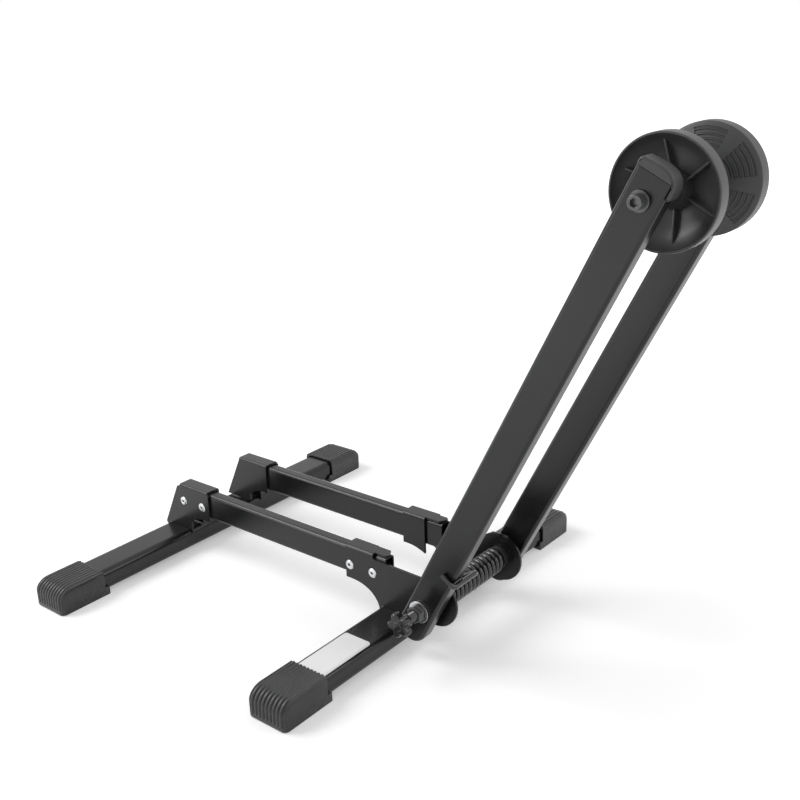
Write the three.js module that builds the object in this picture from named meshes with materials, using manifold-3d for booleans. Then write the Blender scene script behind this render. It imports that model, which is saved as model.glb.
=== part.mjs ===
// Floor bike rack: two cross legs on capped feet, twin rails, riveted saddle brackets and a
// sprung pair of arms that pinch the wheel between two dished, ribbed rollers.
// Millimetres, +X along the rails towards the arms, +Y across the rack, +Z up, floor at z = 0.
import * as THREE from "three";
import { mergeVertices } from "three/addons/utils/BufferGeometryUtils.js";
import Module from "manifold-3d";

const wasm = await Module();
wasm.setup();

// ---------------------------------------------------------------- driving dimensions

const FIT = 0.3; // clearance between pieces that sit on or in one another
const HOLE_PLAY = 0.3; // extra radius of a drilled hole over its bolt, screw or rivet

// The two legs lie across the rack; x = 0 is the front leg until the whole is centred.
const LEG_SPACING = 278.8;
const LEG_REACH = 204.4; // from the middle of the rack to the end of a foot cap
const LEG_WIDTH = 35;
const LEG_HEIGHT = 20;
const LEG_CORNER = 6;
const LEG_BOTTOM = 2.5;
const LEG_TOP = LEG_BOTTOM + LEG_HEIGHT;
const TUBE_WALL = 1.5;

const CAP_WIDTH = 39.6;
const CAP_LENGTH = 48;
const CAP_SOLE_LENGTH = 4.5; // the tongue under the tube, beyond the cap's open end
const CAP_SOLE_HEIGHT = 8;
const CAP_HEIGHT = 24.8;
const CAP_NOSE = 17; // solid length ahead of the leg's end
const CAP_BROW_LENGTH = 14; // the rounded run from the top down to the front
const CAP_BROW_DROP = 11;
const CAP_SHOULDER_WIDTH = 2.6; // the plain sloping band beside the ridges
const CAP_SHOULDER_DROP = 6;
const CAP_CORNER = 4;
const CAP_MOUTH_DEPTH = 6;
const CAP_MOUTH_RELIEF = 0.8;
const CAP_RIDGES = 9;
const CAP_RIDGE_PITCH = 3.8;
const CAP_GROOVE_WIDTH = 1.7;
const CAP_GROOVE_DEPTH = 0.8;
const CAP_PLAIN_BAND = 4; // height of the plain band under the ridges on the front

const RAIL_WIDTH = 12;
const RAIL_HEIGHT = 26;
const RAIL_CORNER = 3;
const RAIL_CENTRE_Y = 40;
const RAIL_CENTRE_Z = 54;
const RAIL_BOTTOM = RAIL_CENTRE_Z - RAIL_HEIGHT / 2;
const RAIL_REAR_INSET = 5.8; // from the rear leg's middle to the rail's end
const RAIL_FRONT_INSET = 12;

const SHEET = 2; // brackets
const SHEET_BEND = 2.3; // outer radius of their folds
const CHEEK_OUTER_Y = RAIL_CENTRE_Y + RAIL_WIDTH / 2 + FIT + SHEET;
const CHEEK_INNER_Y = RAIL_CENTRE_Y - RAIL_WIDTH / 2 - FIT - SHEET;
const COVER_TOP = RAIL_CENTRE_Z + RAIL_HEIGHT / 2 + FIT + SHEET;

// Outlines of the brackets, measured from the leg that each one straddles.
const SKIRT_EASE = 3.1; // eased lower corner of a cheek
const LEG_FACE = LEG_WIDTH / 2;
const REAR_SKIRT = 3.3; // how far the cheek hangs down beside the leg
const REAR_HEEL = 3.2; // how far it stands out behind the leg
const REAR_TOE = 0.8;
const REAR_TOE_RISE = 8;
const REAR_SWEEP = 6.5;
const REAR_LAP = 2; // how far it reaches below the rail
const REAR_SHOULDER = 1.4;
const REAR_SHOULDER_DROP = 3.1;
const REAR_COVER_START = 5;
const REAR_COVER_END = 44.5;
const REAR_LENGTH = 46.3;
const REAR_INNER_HEEL = 16;
const REAR_INNER_RISE = 1.5; // gap between the inner cheek and the leg
const FRONT_SKIRT = 4.1;
const FRONT_HEEL = 1.1;
const FRONT_TOE = 2.1;
const FRONT_LAP = 3;
const FRONT_LENGTH = 55;
const FRONT_TAIL = 5; // straight run under the rail before the sweep
const FRONT_SWEEP = 24;
const FRONT_INNER_SWEEP = 10;
const FRONT_INNER_END = 30;
const FRONT_INNER_RISE = 5;
const FRONT_COVER_END = 11;
const FRONT_COVER_CORNER = 4;
const EAR_RELIEF = 24; // from the leg back to the notch in the fold
const EAR_RELIEF_CORNER = 4;
const EAR_RELIEF_DEPTH = 3.6;

// Rivets, measured from each bracket's own leg.
const RIVET_SHANK_R = 2;
const RIVET_HEAD_R = 3.8;
const REAR_RIVETS = [
  [10, 52],
  [36.5, 52],
];
const FRONT_RIVETS = [
  [-51, 51],
  [-24.4, 51],
];

// Arms: built upright in their own frame, whose origin is the pivot, then leant over.
const PIVOT_X = 41.8;
const PIVOT_Z = 46.6;
const ARM_LEAN = THREE.MathUtils.degToRad(27.2);
const ARM_WIDTH = 27;
const ARM_THICK = 14;
const ARM_CORNER = 3;
const ARM_OUTER_Y = 68.4;
const ARM_INNER_Y = ARM_OUTER_Y - ARM_THICK;
const ARM_CENTRE_Y = ARM_OUTER_Y - ARM_THICK / 2;
const ARM_TOP = 406.9; // from the pivot to the tube's end
const ARM_FOOT = 20.2; // from the pivot down to the centre of the rounded foot
const EAR_R = 22.5;
const EAR_SHOULDER_Z = 64.2; // the cheek's level top edge between cover and ear

const PLUG_RISE = 7; // at the middle of its domed top
const PLUG_HEEL = 5.6; // at its rear edge
const PLUG_HEEL_ROUND = 2.4;
const PLUG_LIP = 10; // how far its hooked lip comes down the arm's edge
const PLUG_LIP_THICK = 2;
const PLUG_STUB = 14;

// Pivot hardware along the axle, all on one M8 bolt.
const BOLT_R = 4;
const SLEEVE_R = 5.5;
const BUSH_R = 9;
const SPRING_BUSH_R = 10;
const WASHER_R = 9.5;
const WASHER_THICK = 1.2;
const SPACER_HEX = 13; // across flats
const SPACER_LENGTH = 6;
const BOLT_HEX = 13;
const BOLT_HEAD = 5.3;

const KNOB_INNER_Y = -84.5;
const KNOB_BOSS_LENGTH = 5;
const KNOB_BOSS_R = 6;
const KNOB_THICK = 8;
const KNOB_MEAN_R = 9.4;
const KNOB_LOBE = 1.3;
const KNOB_LOBES = 5;
const KNOB_BEVEL = 1.2;

// Rollers: "out" counts from the middle of the rack towards the arm.
const ROLLER_HEIGHT = ARM_TOP - 18; // above the pivot, along the arm
const ROLLER_R = 38.15;
const ROLLER_SEGMENTS = 36;
const ROLLER_NOSE = 17.5; // inner end of the hub
const ROLLER_RIM_IN = 26.25;
const ROLLER_RIM_OUT = 37.8;
const ROLLER_WALL = 1.6; // of the rim band
const ROLLER_WEB = 2.2; // of the dished face, at the hub
const ROLLER_DISH_DEPTH = ROLLER_RIM_OUT - ROLLER_NOSE - ROLLER_WEB;
const ROLLER_NOSE_R = 11;
const ROLLER_HUB_R = 8;
const ROLLER_POCKET_R = 8.6; // sinks the lock nut
const ROLLER_POCKET_DEPTH = 7.6;
const ROLLER_SECTORS = 6;
const ROLLER_RIB_THICK = 1.6;
const ROLLER_RIB_RIM = 33; // how far out a rib stands at the rim and at the hub
const ROLLER_RIB_HUB = 24;
const ROLLER_TURN = THREE.MathUtils.degToRad(15);
const RIDGES_PER_SECTOR = 5;
const RIDGE_FIRST_R = 20.6;
const RIDGE_PITCH = 3.2;
const RIDGE_WIDTH = 1.3;
const RIDGE_RISE = 0.9;
const RIDGE_ARC_STEPS = 4; // of the roller's own segments
const SCREW_FLANGE_R = 7;
const SCREW_FLANGE = 1.5;
const SCREW_HEAD_R = 4.9;
const SCREW_HEAD = 6; // above its flange
const SCREW_SOCKET_HEX = 5;
const SCREW_SOCKET_DEPTH = 3.2;
const ROLLER_WASHER_R = 8.5;
const ROLLER_WASHER = 2;
const NUT_HEX = 13;
const NUT_LENGTH = 7;

// Torsion spring round the pivot sleeve: a coil with a hooked leg and a resting leg.
const WIRE_R = 2.3;
const COIL_R = 9;
const COIL_HALF = 38.2;
const COIL_TURNS = 13;
const COIL_STEPS = 8;
const WIRE_SIDES = 5;
const HOOK_HEIGHT = 47; // above the pivot, along the arm
const HOOK_RISE = 2.6; // how far its tip slopes up from there
const HOOK_END = 3; // how far short of the arm's middle the hook stops
const REST_LEG_Z = LEG_BOTTOM + 7.5; // where the resting leg ends on the front leg
const REST_LEG_ANGLE = THREE.MathUtils.degToRad(158); // where the coil ends, from +X

// ---------------------------------------------------------------- materials

const finish = (color, roughness, metalness) =>
  new THREE.MeshStandardMaterial({ color, roughness, metalness });
const powderBlack = finish(0x1d1e20, 0.42, 0.15);
const capPlastic = finish(0x2c2d2f, 0.62, 0);
const rollerPlastic = finish(0x38393b, 0.55, 0);
const knobPlastic = finish(0x18191a, 0.5, 0);
const plugPlastic = finish(0x191a1b, 0.45, 0);
const bushPlastic = finish(0x151516, 0.55, 0);
const springBlack = finish(0x232425, 0.38, 0.5);
const zincSteel = finish(0xb8babc, 0.3, 0.9);
const chrome = finish(0xd8dadc, 0.15, 1);
const blackSteel = finish(0x26272a, 0.4, 0.7);

// ---------------------------------------------------------------- shape helpers

const Y_UP = new THREE.Matrix4().makeBasis(
  new THREE.Vector3(1, 0, 0),
  new THREE.Vector3(0, 0, 1),
  new THREE.Vector3(0, -1, 0),
);
const ALONG_X = new THREE.Matrix4().makeBasis(
  new THREE.Vector3(0, 1, 0),
  new THREE.Vector3(0, 0, 1),
  new THREE.Vector3(1, 0, 0),
);

// A rounded rectangle centred on (cx, cy).
function roundedRect(width, height, radius, cx = 0, cy = 0, Type = THREE.Shape) {
  const path = new Type();
  const w = width / 2 - radius;
  const h = height / 2 - radius;
  path.absarc(cx + w, cy - h, radius, -Math.PI / 2, 0, false);
  path.absarc(cx + w, cy + h, radius, 0, Math.PI / 2, false);
  path.absarc(cx - w, cy + h, radius, Math.PI / 2, Math.PI, false);
  path.absarc(cx - w, cy - h, radius, Math.PI, Math.PI * 1.5, false);
  path.closePath();
  return path;
}

// The same rectangle with its bore, for hollow section.
function tubeSection(width, height, radius, wall, cx = 0, cy = 0) {
  const shape = roundedRect(width, height, radius, cx, cy);
  const inner = Math.max(radius - wall, 0.5);
  const bore = roundedRect(width - 2 * wall, height - 2 * wall, inner, cx, cy, THREE.Path);
  shape.holes.push(bore);
  return shape;
}

function prism(shape, depth, curveSegments = 4) {
  return new THREE.ExtrudeGeometry(shape, { depth, curveSegments, bevelEnabled: false });
}

// Shape drawn in (x, z), standing between two values of y.
function prismY(shape, from, to, curveSegments = 4) {
  return prism(shape, to - from, curveSegments).applyMatrix4(Y_UP).translate(0, to, 0);
}

// Shape drawn in (y, z), standing between two values of x.
function prismX(shape, from, to, curveSegments = 4) {
  return prism(shape, to - from, curveSegments).applyMatrix4(ALONG_X).translate(from, 0, 0);
}

// Shape drawn in (x, y), standing between two values of z.
function prismZ(shape, from, to, curveSegments = 4) {
  return prism(shape, to - from, curveSegments).translate(0, 0, from);
}

function polygon(points) {
  return new THREE.Shape(points.map(([x, y]) => new THREE.Vector2(x, y)));
}

// Profile of [radius, y] pairs turned about Y; it starts and ends on the axis, or is closed here.
function turned(profile, segments = 24, turn = 0) {
  const points = profile.map(([r, y]) => new THREE.Vector2(r, y));
  const onAxis = profile[0][0] === 0 && profile[profile.length - 1][0] === 0;
  if (!onAxis) {
    points.push(points[0].clone());
  }
  if (THREE.ShapeUtils.area(points) < 0) {
    points.reverse();
  }
  return new THREE.LatheGeometry(points, segments, turn);
}

// A straight round bar about Y.
function bar(radius, from, to, segments = 24) {
  const outline = [
    [0, from],
    [radius, from],
    [radius, to],
    [0, to],
  ];
  return turned(outline, segments);
}

// A straight round sleeve about Y.
function sleeve(outer, inner, from, to, segments = 20) {
  const outline = [
    [inner, from],
    [outer, from],
    [outer, to],
    [inner, to],
  ];
  return turned(outline, segments);
}

// A hexagonal prism about Y, sized across its flats.
function hexBar(acrossFlats, from, to) {
  const corner = acrossFlats / 2 / Math.cos(Math.PI / 6);
  return bar(corner, from, to, 6);
}

// A closed skin over rings of equal length, with flat ends.
function loft(rings) {
  const sides = rings[0].length;
  const last = (rings.length - 1) * sides;
  const index = [];
  for (let ring = 0; ring + 1 < rings.length; ring += 1) {
    for (let side = 0; side < sides; side += 1) {
      const next = (side + 1) % sides;
      const a = ring * sides + side;
      const b = ring * sides + next;
      index.push(a, b, b + sides);
      index.push(a, b + sides, a + sides);
    }
  }
  for (let side = 1; side + 1 < sides; side += 1) {
    index.push(0, side + 1, side);
    index.push(last, last + side, last + side + 1);
  }
  const geometry = new THREE.BufferGeometry();
  const points = rings.flat().flatMap((p) => [p.x, p.y, p.z]);
  geometry.setAttribute("position", new THREE.Float32BufferAttribute(points, 3));
  geometry.setIndex(index);
  if (signedVolume(geometry) < 0) {
    geometry.setIndex(index.reverse());
  }
  geometry.computeVertexNormals();
  return geometry;
}

function signedVolume(geometry) {
  const at = geometry.attributes.position;
  const index = geometry.index.array;
  const [a, b, c] = [new THREE.Vector3(), new THREE.Vector3(), new THREE.Vector3()];
  let volume = 0;
  for (let i = 0; i < index.length; i += 3) {
    a.fromBufferAttribute(at, index[i]);
    b.fromBufferAttribute(at, index[i + 1]);
    c.fromBufferAttribute(at, index[i + 2]);
    volume += a.dot(b.cross(c)) / 6;
  }
  return volume;
}

// ---------------------------------------------------------------- cuts and joins

function solid(geometry) {
  const bare = geometry.clone();
  bare.deleteAttribute("normal");
  bare.deleteAttribute("uv");
  const merged = mergeVertices(bare, 1e-3);
  const index = merged.index.array;
  const kept = [];
  for (let i = 0; i < index.length; i += 3) {
    const [a, b, c] = index.slice(i, i + 3);
    if (a !== b && b !== c && a !== c) {
      kept.push(a, b, c);
    }
  }
  const mesh = new wasm.Mesh({
    numProp: 3,
    vertProperties: new Float32Array(merged.attributes.position.array),
    triVerts: new Uint32Array(kept),
  });
  return new wasm.Manifold(mesh);
}

function geometryOf(body) {
  const mesh = body.getMesh();
  const geometry = new THREE.BufferGeometry();
  const points = new Float32Array(mesh.vertProperties);
  geometry.setAttribute("position", new THREE.BufferAttribute(points, 3));
  geometry.setIndex(Array.from(mesh.triVerts));
  geometry.computeVertexNormals();
  return geometry;
}

const join = (...parts) => parts.map(solid).reduce((all, part) => all.add(part));
const overlap = (...parts) => parts.map(solid).reduce((all, part) => all.intersect(part));
const cut = (body, ...tools) => tools.map(solid).reduce((all, tool) => all.subtract(tool), body);

// ---------------------------------------------------------------- legs and foot caps

function legSection(grow = 0) {
  const middle = LEG_BOTTOM + LEG_HEIGHT / 2;
  const [w, h] = [LEG_WIDTH + 2 * grow, LEG_HEIGHT + 2 * grow];
  return roundedRect(w, h, LEG_CORNER + grow, 0, middle);
}

function legTube() {
  const end = LEG_REACH - CAP_NOSE - FIT;
  const middle = LEG_BOTTOM + LEG_HEIGHT / 2;
  const section = tubeSection(LEG_WIDTH, LEG_HEIGHT, LEG_CORNER, TUBE_WALL, 0, middle);
  return prismY(section, -end, end, 3);
}

// Stations down the cap's ridged side, from its open end over the brow to the plain band.
function browStations() {
  const stations = [{ y: -CAP_LENGTH - 1, z: CAP_HEIGHT, ny: 0, nz: 1 }];
  const steps = 4;
  for (let i = 0; i <= steps; i += 1) {
    const angle = (Math.PI / 2) * (1 - i / steps);
    const normal = new THREE.Vector2(
      Math.cos(angle) / CAP_BROW_LENGTH,
      Math.sin(angle) / CAP_BROW_DROP,
    ).normalize();
    stations.push({
      y: -CAP_BROW_LENGTH + CAP_BROW_LENGTH * Math.cos(angle),
      z: CAP_HEIGHT - CAP_BROW_DROP + CAP_BROW_DROP * Math.sin(angle),
      ny: normal.x,
      nz: normal.y,
    });
  }
  stations.push({ y: 0, z: CAP_PLAIN_BAND, ny: 1, nz: 0 });
  return stations;
}

// One groove between the ridges, as the tool that cuts it.
function capGroove(x) {
  const half = CAP_GROOVE_WIDTH / 2;
  const section = [
    [x, -CAP_GROOVE_DEPTH],
    [x + half * 2, CAP_GROOVE_DEPTH],
    [x - half * 2, CAP_GROOVE_DEPTH],
  ];
  const ringAt = ({ y, z, ny, nz }) =>
    section.map(([across, out]) => new THREE.Vector3(across, y + out * ny, z + out * nz));
  return loft(browStations().map(ringAt));
}

// The cap's outer end is at y = 0 and its open end at y = -CAP_LENGTH.
function footCap() {
  const side = polygon([
    [-CAP_LENGTH, CAP_SOLE_HEIGHT],
    [-CAP_LENGTH - CAP_SOLE_LENGTH, CAP_SOLE_HEIGHT],
    [-CAP_LENGTH - CAP_SOLE_LENGTH, 0],
    [-1, 0],
    [0, 1],
    ...browStations()
      .slice(1, -1)
      .reverse()
      .map(({ y, z }) => [y, z]),
    [-CAP_LENGTH, CAP_HEIGHT],
  ]);
  const [w, h] = [CAP_WIDTH / 2, CAP_HEIGHT];
  const inner = -CAP_LENGTH - CAP_SOLE_LENGTH;
  const front = new THREE.Shape();
  front.moveTo(-w, 0);
  front.lineTo(w, 0);
  front.lineTo(w, h - CAP_SHOULDER_DROP);
  front.quadraticCurveTo(w, h - 1.2, w - CAP_SHOULDER_WIDTH, h);
  front.lineTo(-w + CAP_SHOULDER_WIDTH, h);
  front.quadraticCurveTo(-w, h - 1.2, -w, h - CAP_SHOULDER_DROP);
  const plan = new THREE.Shape();
  plan.moveTo(-w, inner);
  plan.lineTo(w, inner);
  plan.absarc(w - CAP_CORNER, -CAP_CORNER, CAP_CORNER, 0, Math.PI / 2, false);
  plan.absarc(-w + CAP_CORNER, -CAP_CORNER, CAP_CORNER, Math.PI / 2, Math.PI, false);
  const outer = overlap(
    prismX(side, -w - 1, w + 1),
    prismY(front, inner, 1, 3),
    prismZ(plan, -1, h + 1, 3),
  );
  const socket = prismY(legSection(FIT), inner - 1, -CAP_NOSE, 3);
  const middle = LEG_BOTTOM + LEG_HEIGHT / 2;
  const mouth = roundedRect(
    LEG_WIDTH + 2 * (FIT + CAP_MOUTH_RELIEF),
    LEG_HEIGHT + 2 * (FIT + CAP_MOUTH_RELIEF),
    LEG_CORNER + FIT + CAP_MOUTH_RELIEF,
    0,
    middle,
  );
  const relief = prismY(mouth, inner - 1, -CAP_LENGTH + CAP_MOUTH_DEPTH, 3);
  const grooves = [];
  for (let i = 0; i <= CAP_RIDGES; i += 1) {
    grooves.push(capGroove((i - CAP_RIDGES / 2) * CAP_RIDGE_PITCH));
  }
  return geometryOf(cut(outer, socket, relief, ...grooves));
}

// ---------------------------------------------------------------- rails and brackets

// Rivet and bolt holes all run across the rack.
function drill(x, z, radius, from, to, segments = 10) {
  return bar(radius, from, to, segments).translate(x, 0, z);
}

function rail(side) {
  const y = side * RAIL_CENTRE_Y;
  const section = tubeSection(RAIL_WIDTH, RAIL_HEIGHT, RAIL_CORNER, TUBE_WALL, y, RAIL_CENTRE_Z);
  const blank = solid(prismX(section, RAIL_REAR_INSET - LEG_SPACING, -RAIL_FRONT_INSET, 2));
  const outer = [side * RAIL_CENTRE_Y, side * (RAIL_CENTRE_Y + RAIL_WIDTH)].sort((a, b) => a - b);
  const rear = REAR_RIVETS.map(([x, z]) => [x - LEG_SPACING, z]);
  const holes = [...rear, ...FRONT_RIVETS].map(([x, z]) =>
    drill(x, z, RIVET_SHANK_R + HOLE_PLAY, outer[0], outer[1]),
  );
  return geometryOf(cut(blank, ...holes));
}

// The folded channel that a bracket is cut from: outer cheek, cover and inner cheek.
function channelSection() {
  const width = CHEEK_OUTER_Y - CHEEK_INNER_Y;
  const middle = (CHEEK_OUTER_Y + CHEEK_INNER_Y) / 2;
  const height = 2 * COVER_TOP;
  return tubeSection(width, height, SHEET_BEND, SHEET, middle, 0);
}

// Cuts the channel to the outlines of its cheeks and cover, and round the leg. The outlines are
// drawn from the side, the cover's plan from above.
function foldedBracket(outerOutline, innerOutline, coverPlan, rivets) {
  const reach = FRONT_LENGTH + PIVOT_X + EAR_R;
  const channel = solid(prismX(channelSection(), -reach, reach, 3));
  const cheek = solid(prismY(outerOutline, CHEEK_OUTER_Y - SHEET - FIT, CHEEK_OUTER_Y + 1, 6));
  const inner = solid(prismY(innerOutline, CHEEK_INNER_Y - 1, CHEEK_INNER_Y + SHEET_BEND, 6));
  const cover = solid(prismZ(coverPlan, COVER_TOP - SHEET_BEND, COVER_TOP + 1));
  const blank = channel.intersect(cheek.add(inner).add(cover));
  const leg = prismY(legSection(FIT), 0, ARM_OUTER_Y, 3);
  const holes = rivets.map(([x, z]) =>
    drill(x, z, RIVET_SHANK_R + HOLE_PLAY, RAIL_CENTRE_Y, ARM_OUTER_Y),
  );
  return cut(blank, leg, ...holes);
}

// Positions here count from the leg that the bracket straddles.
function rearBracket() {
  const skirt = LEG_TOP - REAR_SKIRT;
  const heel = -LEG_FACE - REAR_HEEL;
  const toe = LEG_FACE + REAR_TOE;
  const sweepX = LEG_FACE + REAR_SWEEP;
  const lap = RAIL_BOTTOM - REAR_LAP;
  const outline = new THREE.Shape();
  outline.moveTo(REAR_SHOULDER, COVER_TOP - REAR_SHOULDER_DROP);
  outline.lineTo(heel, LEG_TOP);
  outline.quadraticCurveTo(heel, skirt, heel + SKIRT_EASE, skirt);
  outline.lineTo(toe, skirt);
  outline.lineTo(toe, LEG_TOP + REAR_TOE_RISE);
  outline.quadraticCurveTo(sweepX, lap, REAR_LENGTH, lap);
  outline.lineTo(REAR_LENGTH, COVER_TOP);
  outline.lineTo(REAR_COVER_START, COVER_TOP);
  outline.lineTo(REAR_COVER_START, COVER_TOP - REAR_SHOULDER_DROP);
  const inner = new THREE.Shape();
  inner.moveTo(REAR_COVER_START, COVER_TOP);
  inner.lineTo(-REAR_INNER_HEEL, LEG_TOP + REAR_INNER_RISE);
  inner.lineTo(toe, LEG_TOP + REAR_INNER_RISE);
  inner.lineTo(toe, LEG_TOP + REAR_TOE_RISE);
  inner.quadraticCurveTo(sweepX, lap, REAR_COVER_END, lap);
  inner.lineTo(REAR_COVER_END, COVER_TOP);
  const cover = polygon([
    [REAR_COVER_START, CHEEK_INNER_Y - 1],
    [REAR_COVER_END, CHEEK_INNER_Y - 1],
    [REAR_COVER_END, CHEEK_OUTER_Y + 1],
    [REAR_COVER_START, CHEEK_OUTER_Y + 1],
  ]);
  return foldedBracket(outline, inner, cover, REAR_RIVETS);
}

// The fold over the outer cheek stops short, where the cheek drops to run out to the ear.
function frontBracket() {
  const skirt = LEG_TOP - FRONT_SKIRT;
  const heel = -LEG_FACE - FRONT_HEEL;
  const lap = RAIL_BOTTOM - FRONT_LAP;
  const sweepStart = -FRONT_LENGTH + FRONT_TAIL;
  const outline = new THREE.Shape();
  outline.moveTo(-FRONT_LENGTH, COVER_TOP);
  outline.lineTo(-FRONT_LENGTH, lap);
  outline.lineTo(sweepStart, lap);
  outline.quadraticCurveTo(sweepStart + FRONT_SWEEP, lap, heel, skirt + SKIRT_EASE);
  outline.quadraticCurveTo(heel, skirt, heel + SKIRT_EASE, skirt);
  outline.lineTo(LEG_FACE, skirt);
  outline.lineTo(LEG_FACE + FRONT_TOE, skirt + SKIRT_EASE);
  outline.absarc(PIVOT_X, PIVOT_Z, EAR_R, -Math.PI * 0.55, Math.PI * 0.73, false);
  outline.lineTo(EAR_RELIEF_CORNER - EAR_RELIEF, EAR_SHOULDER_Z);
  outline.quadraticCurveTo(-EAR_RELIEF, EAR_SHOULDER_Z, -EAR_RELIEF, COVER_TOP);
  const inner = new THREE.Shape();
  inner.moveTo(-FRONT_LENGTH, COVER_TOP);
  inner.lineTo(-FRONT_LENGTH, lap);
  inner.lineTo(sweepStart, lap);
  const innerSweep = sweepStart + FRONT_INNER_SWEEP;
  inner.quadraticCurveTo(innerSweep, lap, -FRONT_INNER_END, lap - FRONT_INNER_RISE);
  inner.lineTo(-FRONT_INNER_END, COVER_TOP);
  const reliefY = CHEEK_OUTER_Y - EAR_RELIEF_DEPTH;
  const foldY = CHEEK_INNER_Y + SHEET;
  const corner = FRONT_COVER_CORNER;
  const cover = new THREE.Shape();
  cover.moveTo(-FRONT_LENGTH, CHEEK_INNER_Y - 1);
  cover.lineTo(-FRONT_INNER_END, CHEEK_INNER_Y - 1);
  cover.lineTo(-FRONT_INNER_END, foldY);
  cover.lineTo(-FRONT_COVER_END, foldY);
  cover.lineTo(-FRONT_COVER_END, reliefY - corner);
  cover.quadraticCurveTo(-FRONT_COVER_END, reliefY, -FRONT_COVER_END - corner, reliefY);
  cover.lineTo(-EAR_RELIEF, reliefY);
  cover.lineTo(-EAR_RELIEF, CHEEK_OUTER_Y + 1);
  cover.lineTo(-FRONT_LENGTH, CHEEK_OUTER_Y + 1);
  const blank = foldedBracket(outline, inner, cover, FRONT_RIVETS);
  const bore = drill(PIVOT_X, PIVOT_Z, BOLT_R + HOLE_PLAY, 0, ARM_OUTER_Y, 20);
  return cut(blank, bore);
}

// A bracket for the far side, or the same one mirrored for the near side.
function bracketFor(side, body) {
  return geometryOf(side > 0 ? body : body.mirror([0, 1, 0]));
}

// A blind rivet with its dished head; its seat is at y = 0 and its head on the +Y side.
function rivet() {
  const wall = FIT + SHEET + TUBE_WALL;
  const profile = [
    [0, -wall - 2.4],
    [RIVET_SHANK_R + 0.6, -wall - 1.4],
    [RIVET_SHANK_R, -wall - FIT],
    [RIVET_SHANK_R, 0.05],
    [RIVET_HEAD_R, 0.05],
    [RIVET_HEAD_R - 0.4, 0.9],
    [1.5, 1.4],
    [0, 0.4],
  ];
  return turned(profile, 10);
}

// ---------------------------------------------------------------- arms

// Upright arm about its own middle plane: rounded foot below, open end above.
function armTube() {
  const shell = (inset) => {
    const half = ARM_WIDTH / 2 - inset;
    const outline = new THREE.Shape();
    outline.moveTo(half, ARM_TOP + inset);
    outline.lineTo(-half, ARM_TOP + inset);
    outline.absarc(0, -ARM_FOOT, half, Math.PI, Math.PI * 2, false);
    const [w, t] = [ARM_WIDTH - 2 * inset, ARM_THICK - 2 * inset];
    const section = roundedRect(w, t, Math.max(ARM_CORNER - inset, 0.8));
    const low = -ARM_FOOT - ARM_WIDTH;
    const length = prismZ(section, low, ARM_TOP + 2, 2);
    return overlap(length, prismY(outline, -t, t, 6));
  };
  const holeR = BOLT_R + HOLE_PLAY;
  const holes = [0, ROLLER_HEIGHT].map((z) => drill(0, z, holeR, -ARM_THICK, ARM_THICK, 16));
  return geometryOf(cut(shell(0).subtract(shell(TUBE_WALL)), ...holes));
}

// Moulded end plug: stub in the tube, domed cap over it, lip hooked over the front edge.
function armPlug() {
  const half = ARM_WIDTH / 2;
  const edge = half + FIT + PLUG_LIP_THICK;
  const seat = ARM_TOP + FIT;
  const outline = new THREE.Shape();
  outline.moveTo(-half, seat);
  outline.lineTo(half + FIT, seat);
  outline.lineTo(half + FIT, ARM_TOP - PLUG_LIP);
  outline.quadraticCurveTo(edge, ARM_TOP - PLUG_LIP + 0.5, edge, ARM_TOP - PLUG_LIP + 3);
  outline.quadraticCurveTo(edge, ARM_TOP + PLUG_RISE, 0, ARM_TOP + PLUG_RISE);
  outline.lineTo(-half + PLUG_HEEL_ROUND, ARM_TOP + PLUG_HEEL + 0.4);
  outline.quadraticCurveTo(-half, ARM_TOP + PLUG_HEEL, -half, seat + 1.5);
  const crown = new THREE.Shape();
  const t = ARM_THICK / 2;
  crown.moveTo(-t, ARM_TOP - PLUG_LIP - 1);
  crown.lineTo(t, ARM_TOP - PLUG_LIP - 1);
  crown.lineTo(t, ARM_TOP + PLUG_RISE - 3);
  crown.quadraticCurveTo(t * 0.7, ARM_TOP + PLUG_RISE, 0, ARM_TOP + PLUG_RISE);
  crown.quadraticCurveTo(-t * 0.7, ARM_TOP + PLUG_RISE, -t, ARM_TOP + PLUG_RISE - 3);
  const cap = overlap(prismY(outline, -t, t, 5), prismX(crown, -half - 1, edge + 1, 4));
  const inset = TUBE_WALL + FIT;
  const section = roundedRect(ARM_WIDTH - 2 * inset, ARM_THICK - 2 * inset, 1.2);
  const stub = solid(prismZ(section, ARM_TOP - PLUG_STUB, seat + 1, 3));
  return geometryOf(cap.add(stub));
}

// ---------------------------------------------------------------- pivot

function pivotBolt() {
  const seat = ARM_OUTER_Y + 2 * FIT + WASHER_THICK;
  const tip = KNOB_INNER_Y - KNOB_BOSS_LENGTH - KNOB_THICK + 3.5;
  return geometryOf(join(bar(BOLT_R, tip, seat + 1), hexBar(BOLT_HEX, seat, seat + BOLT_HEAD)));
}

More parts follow.
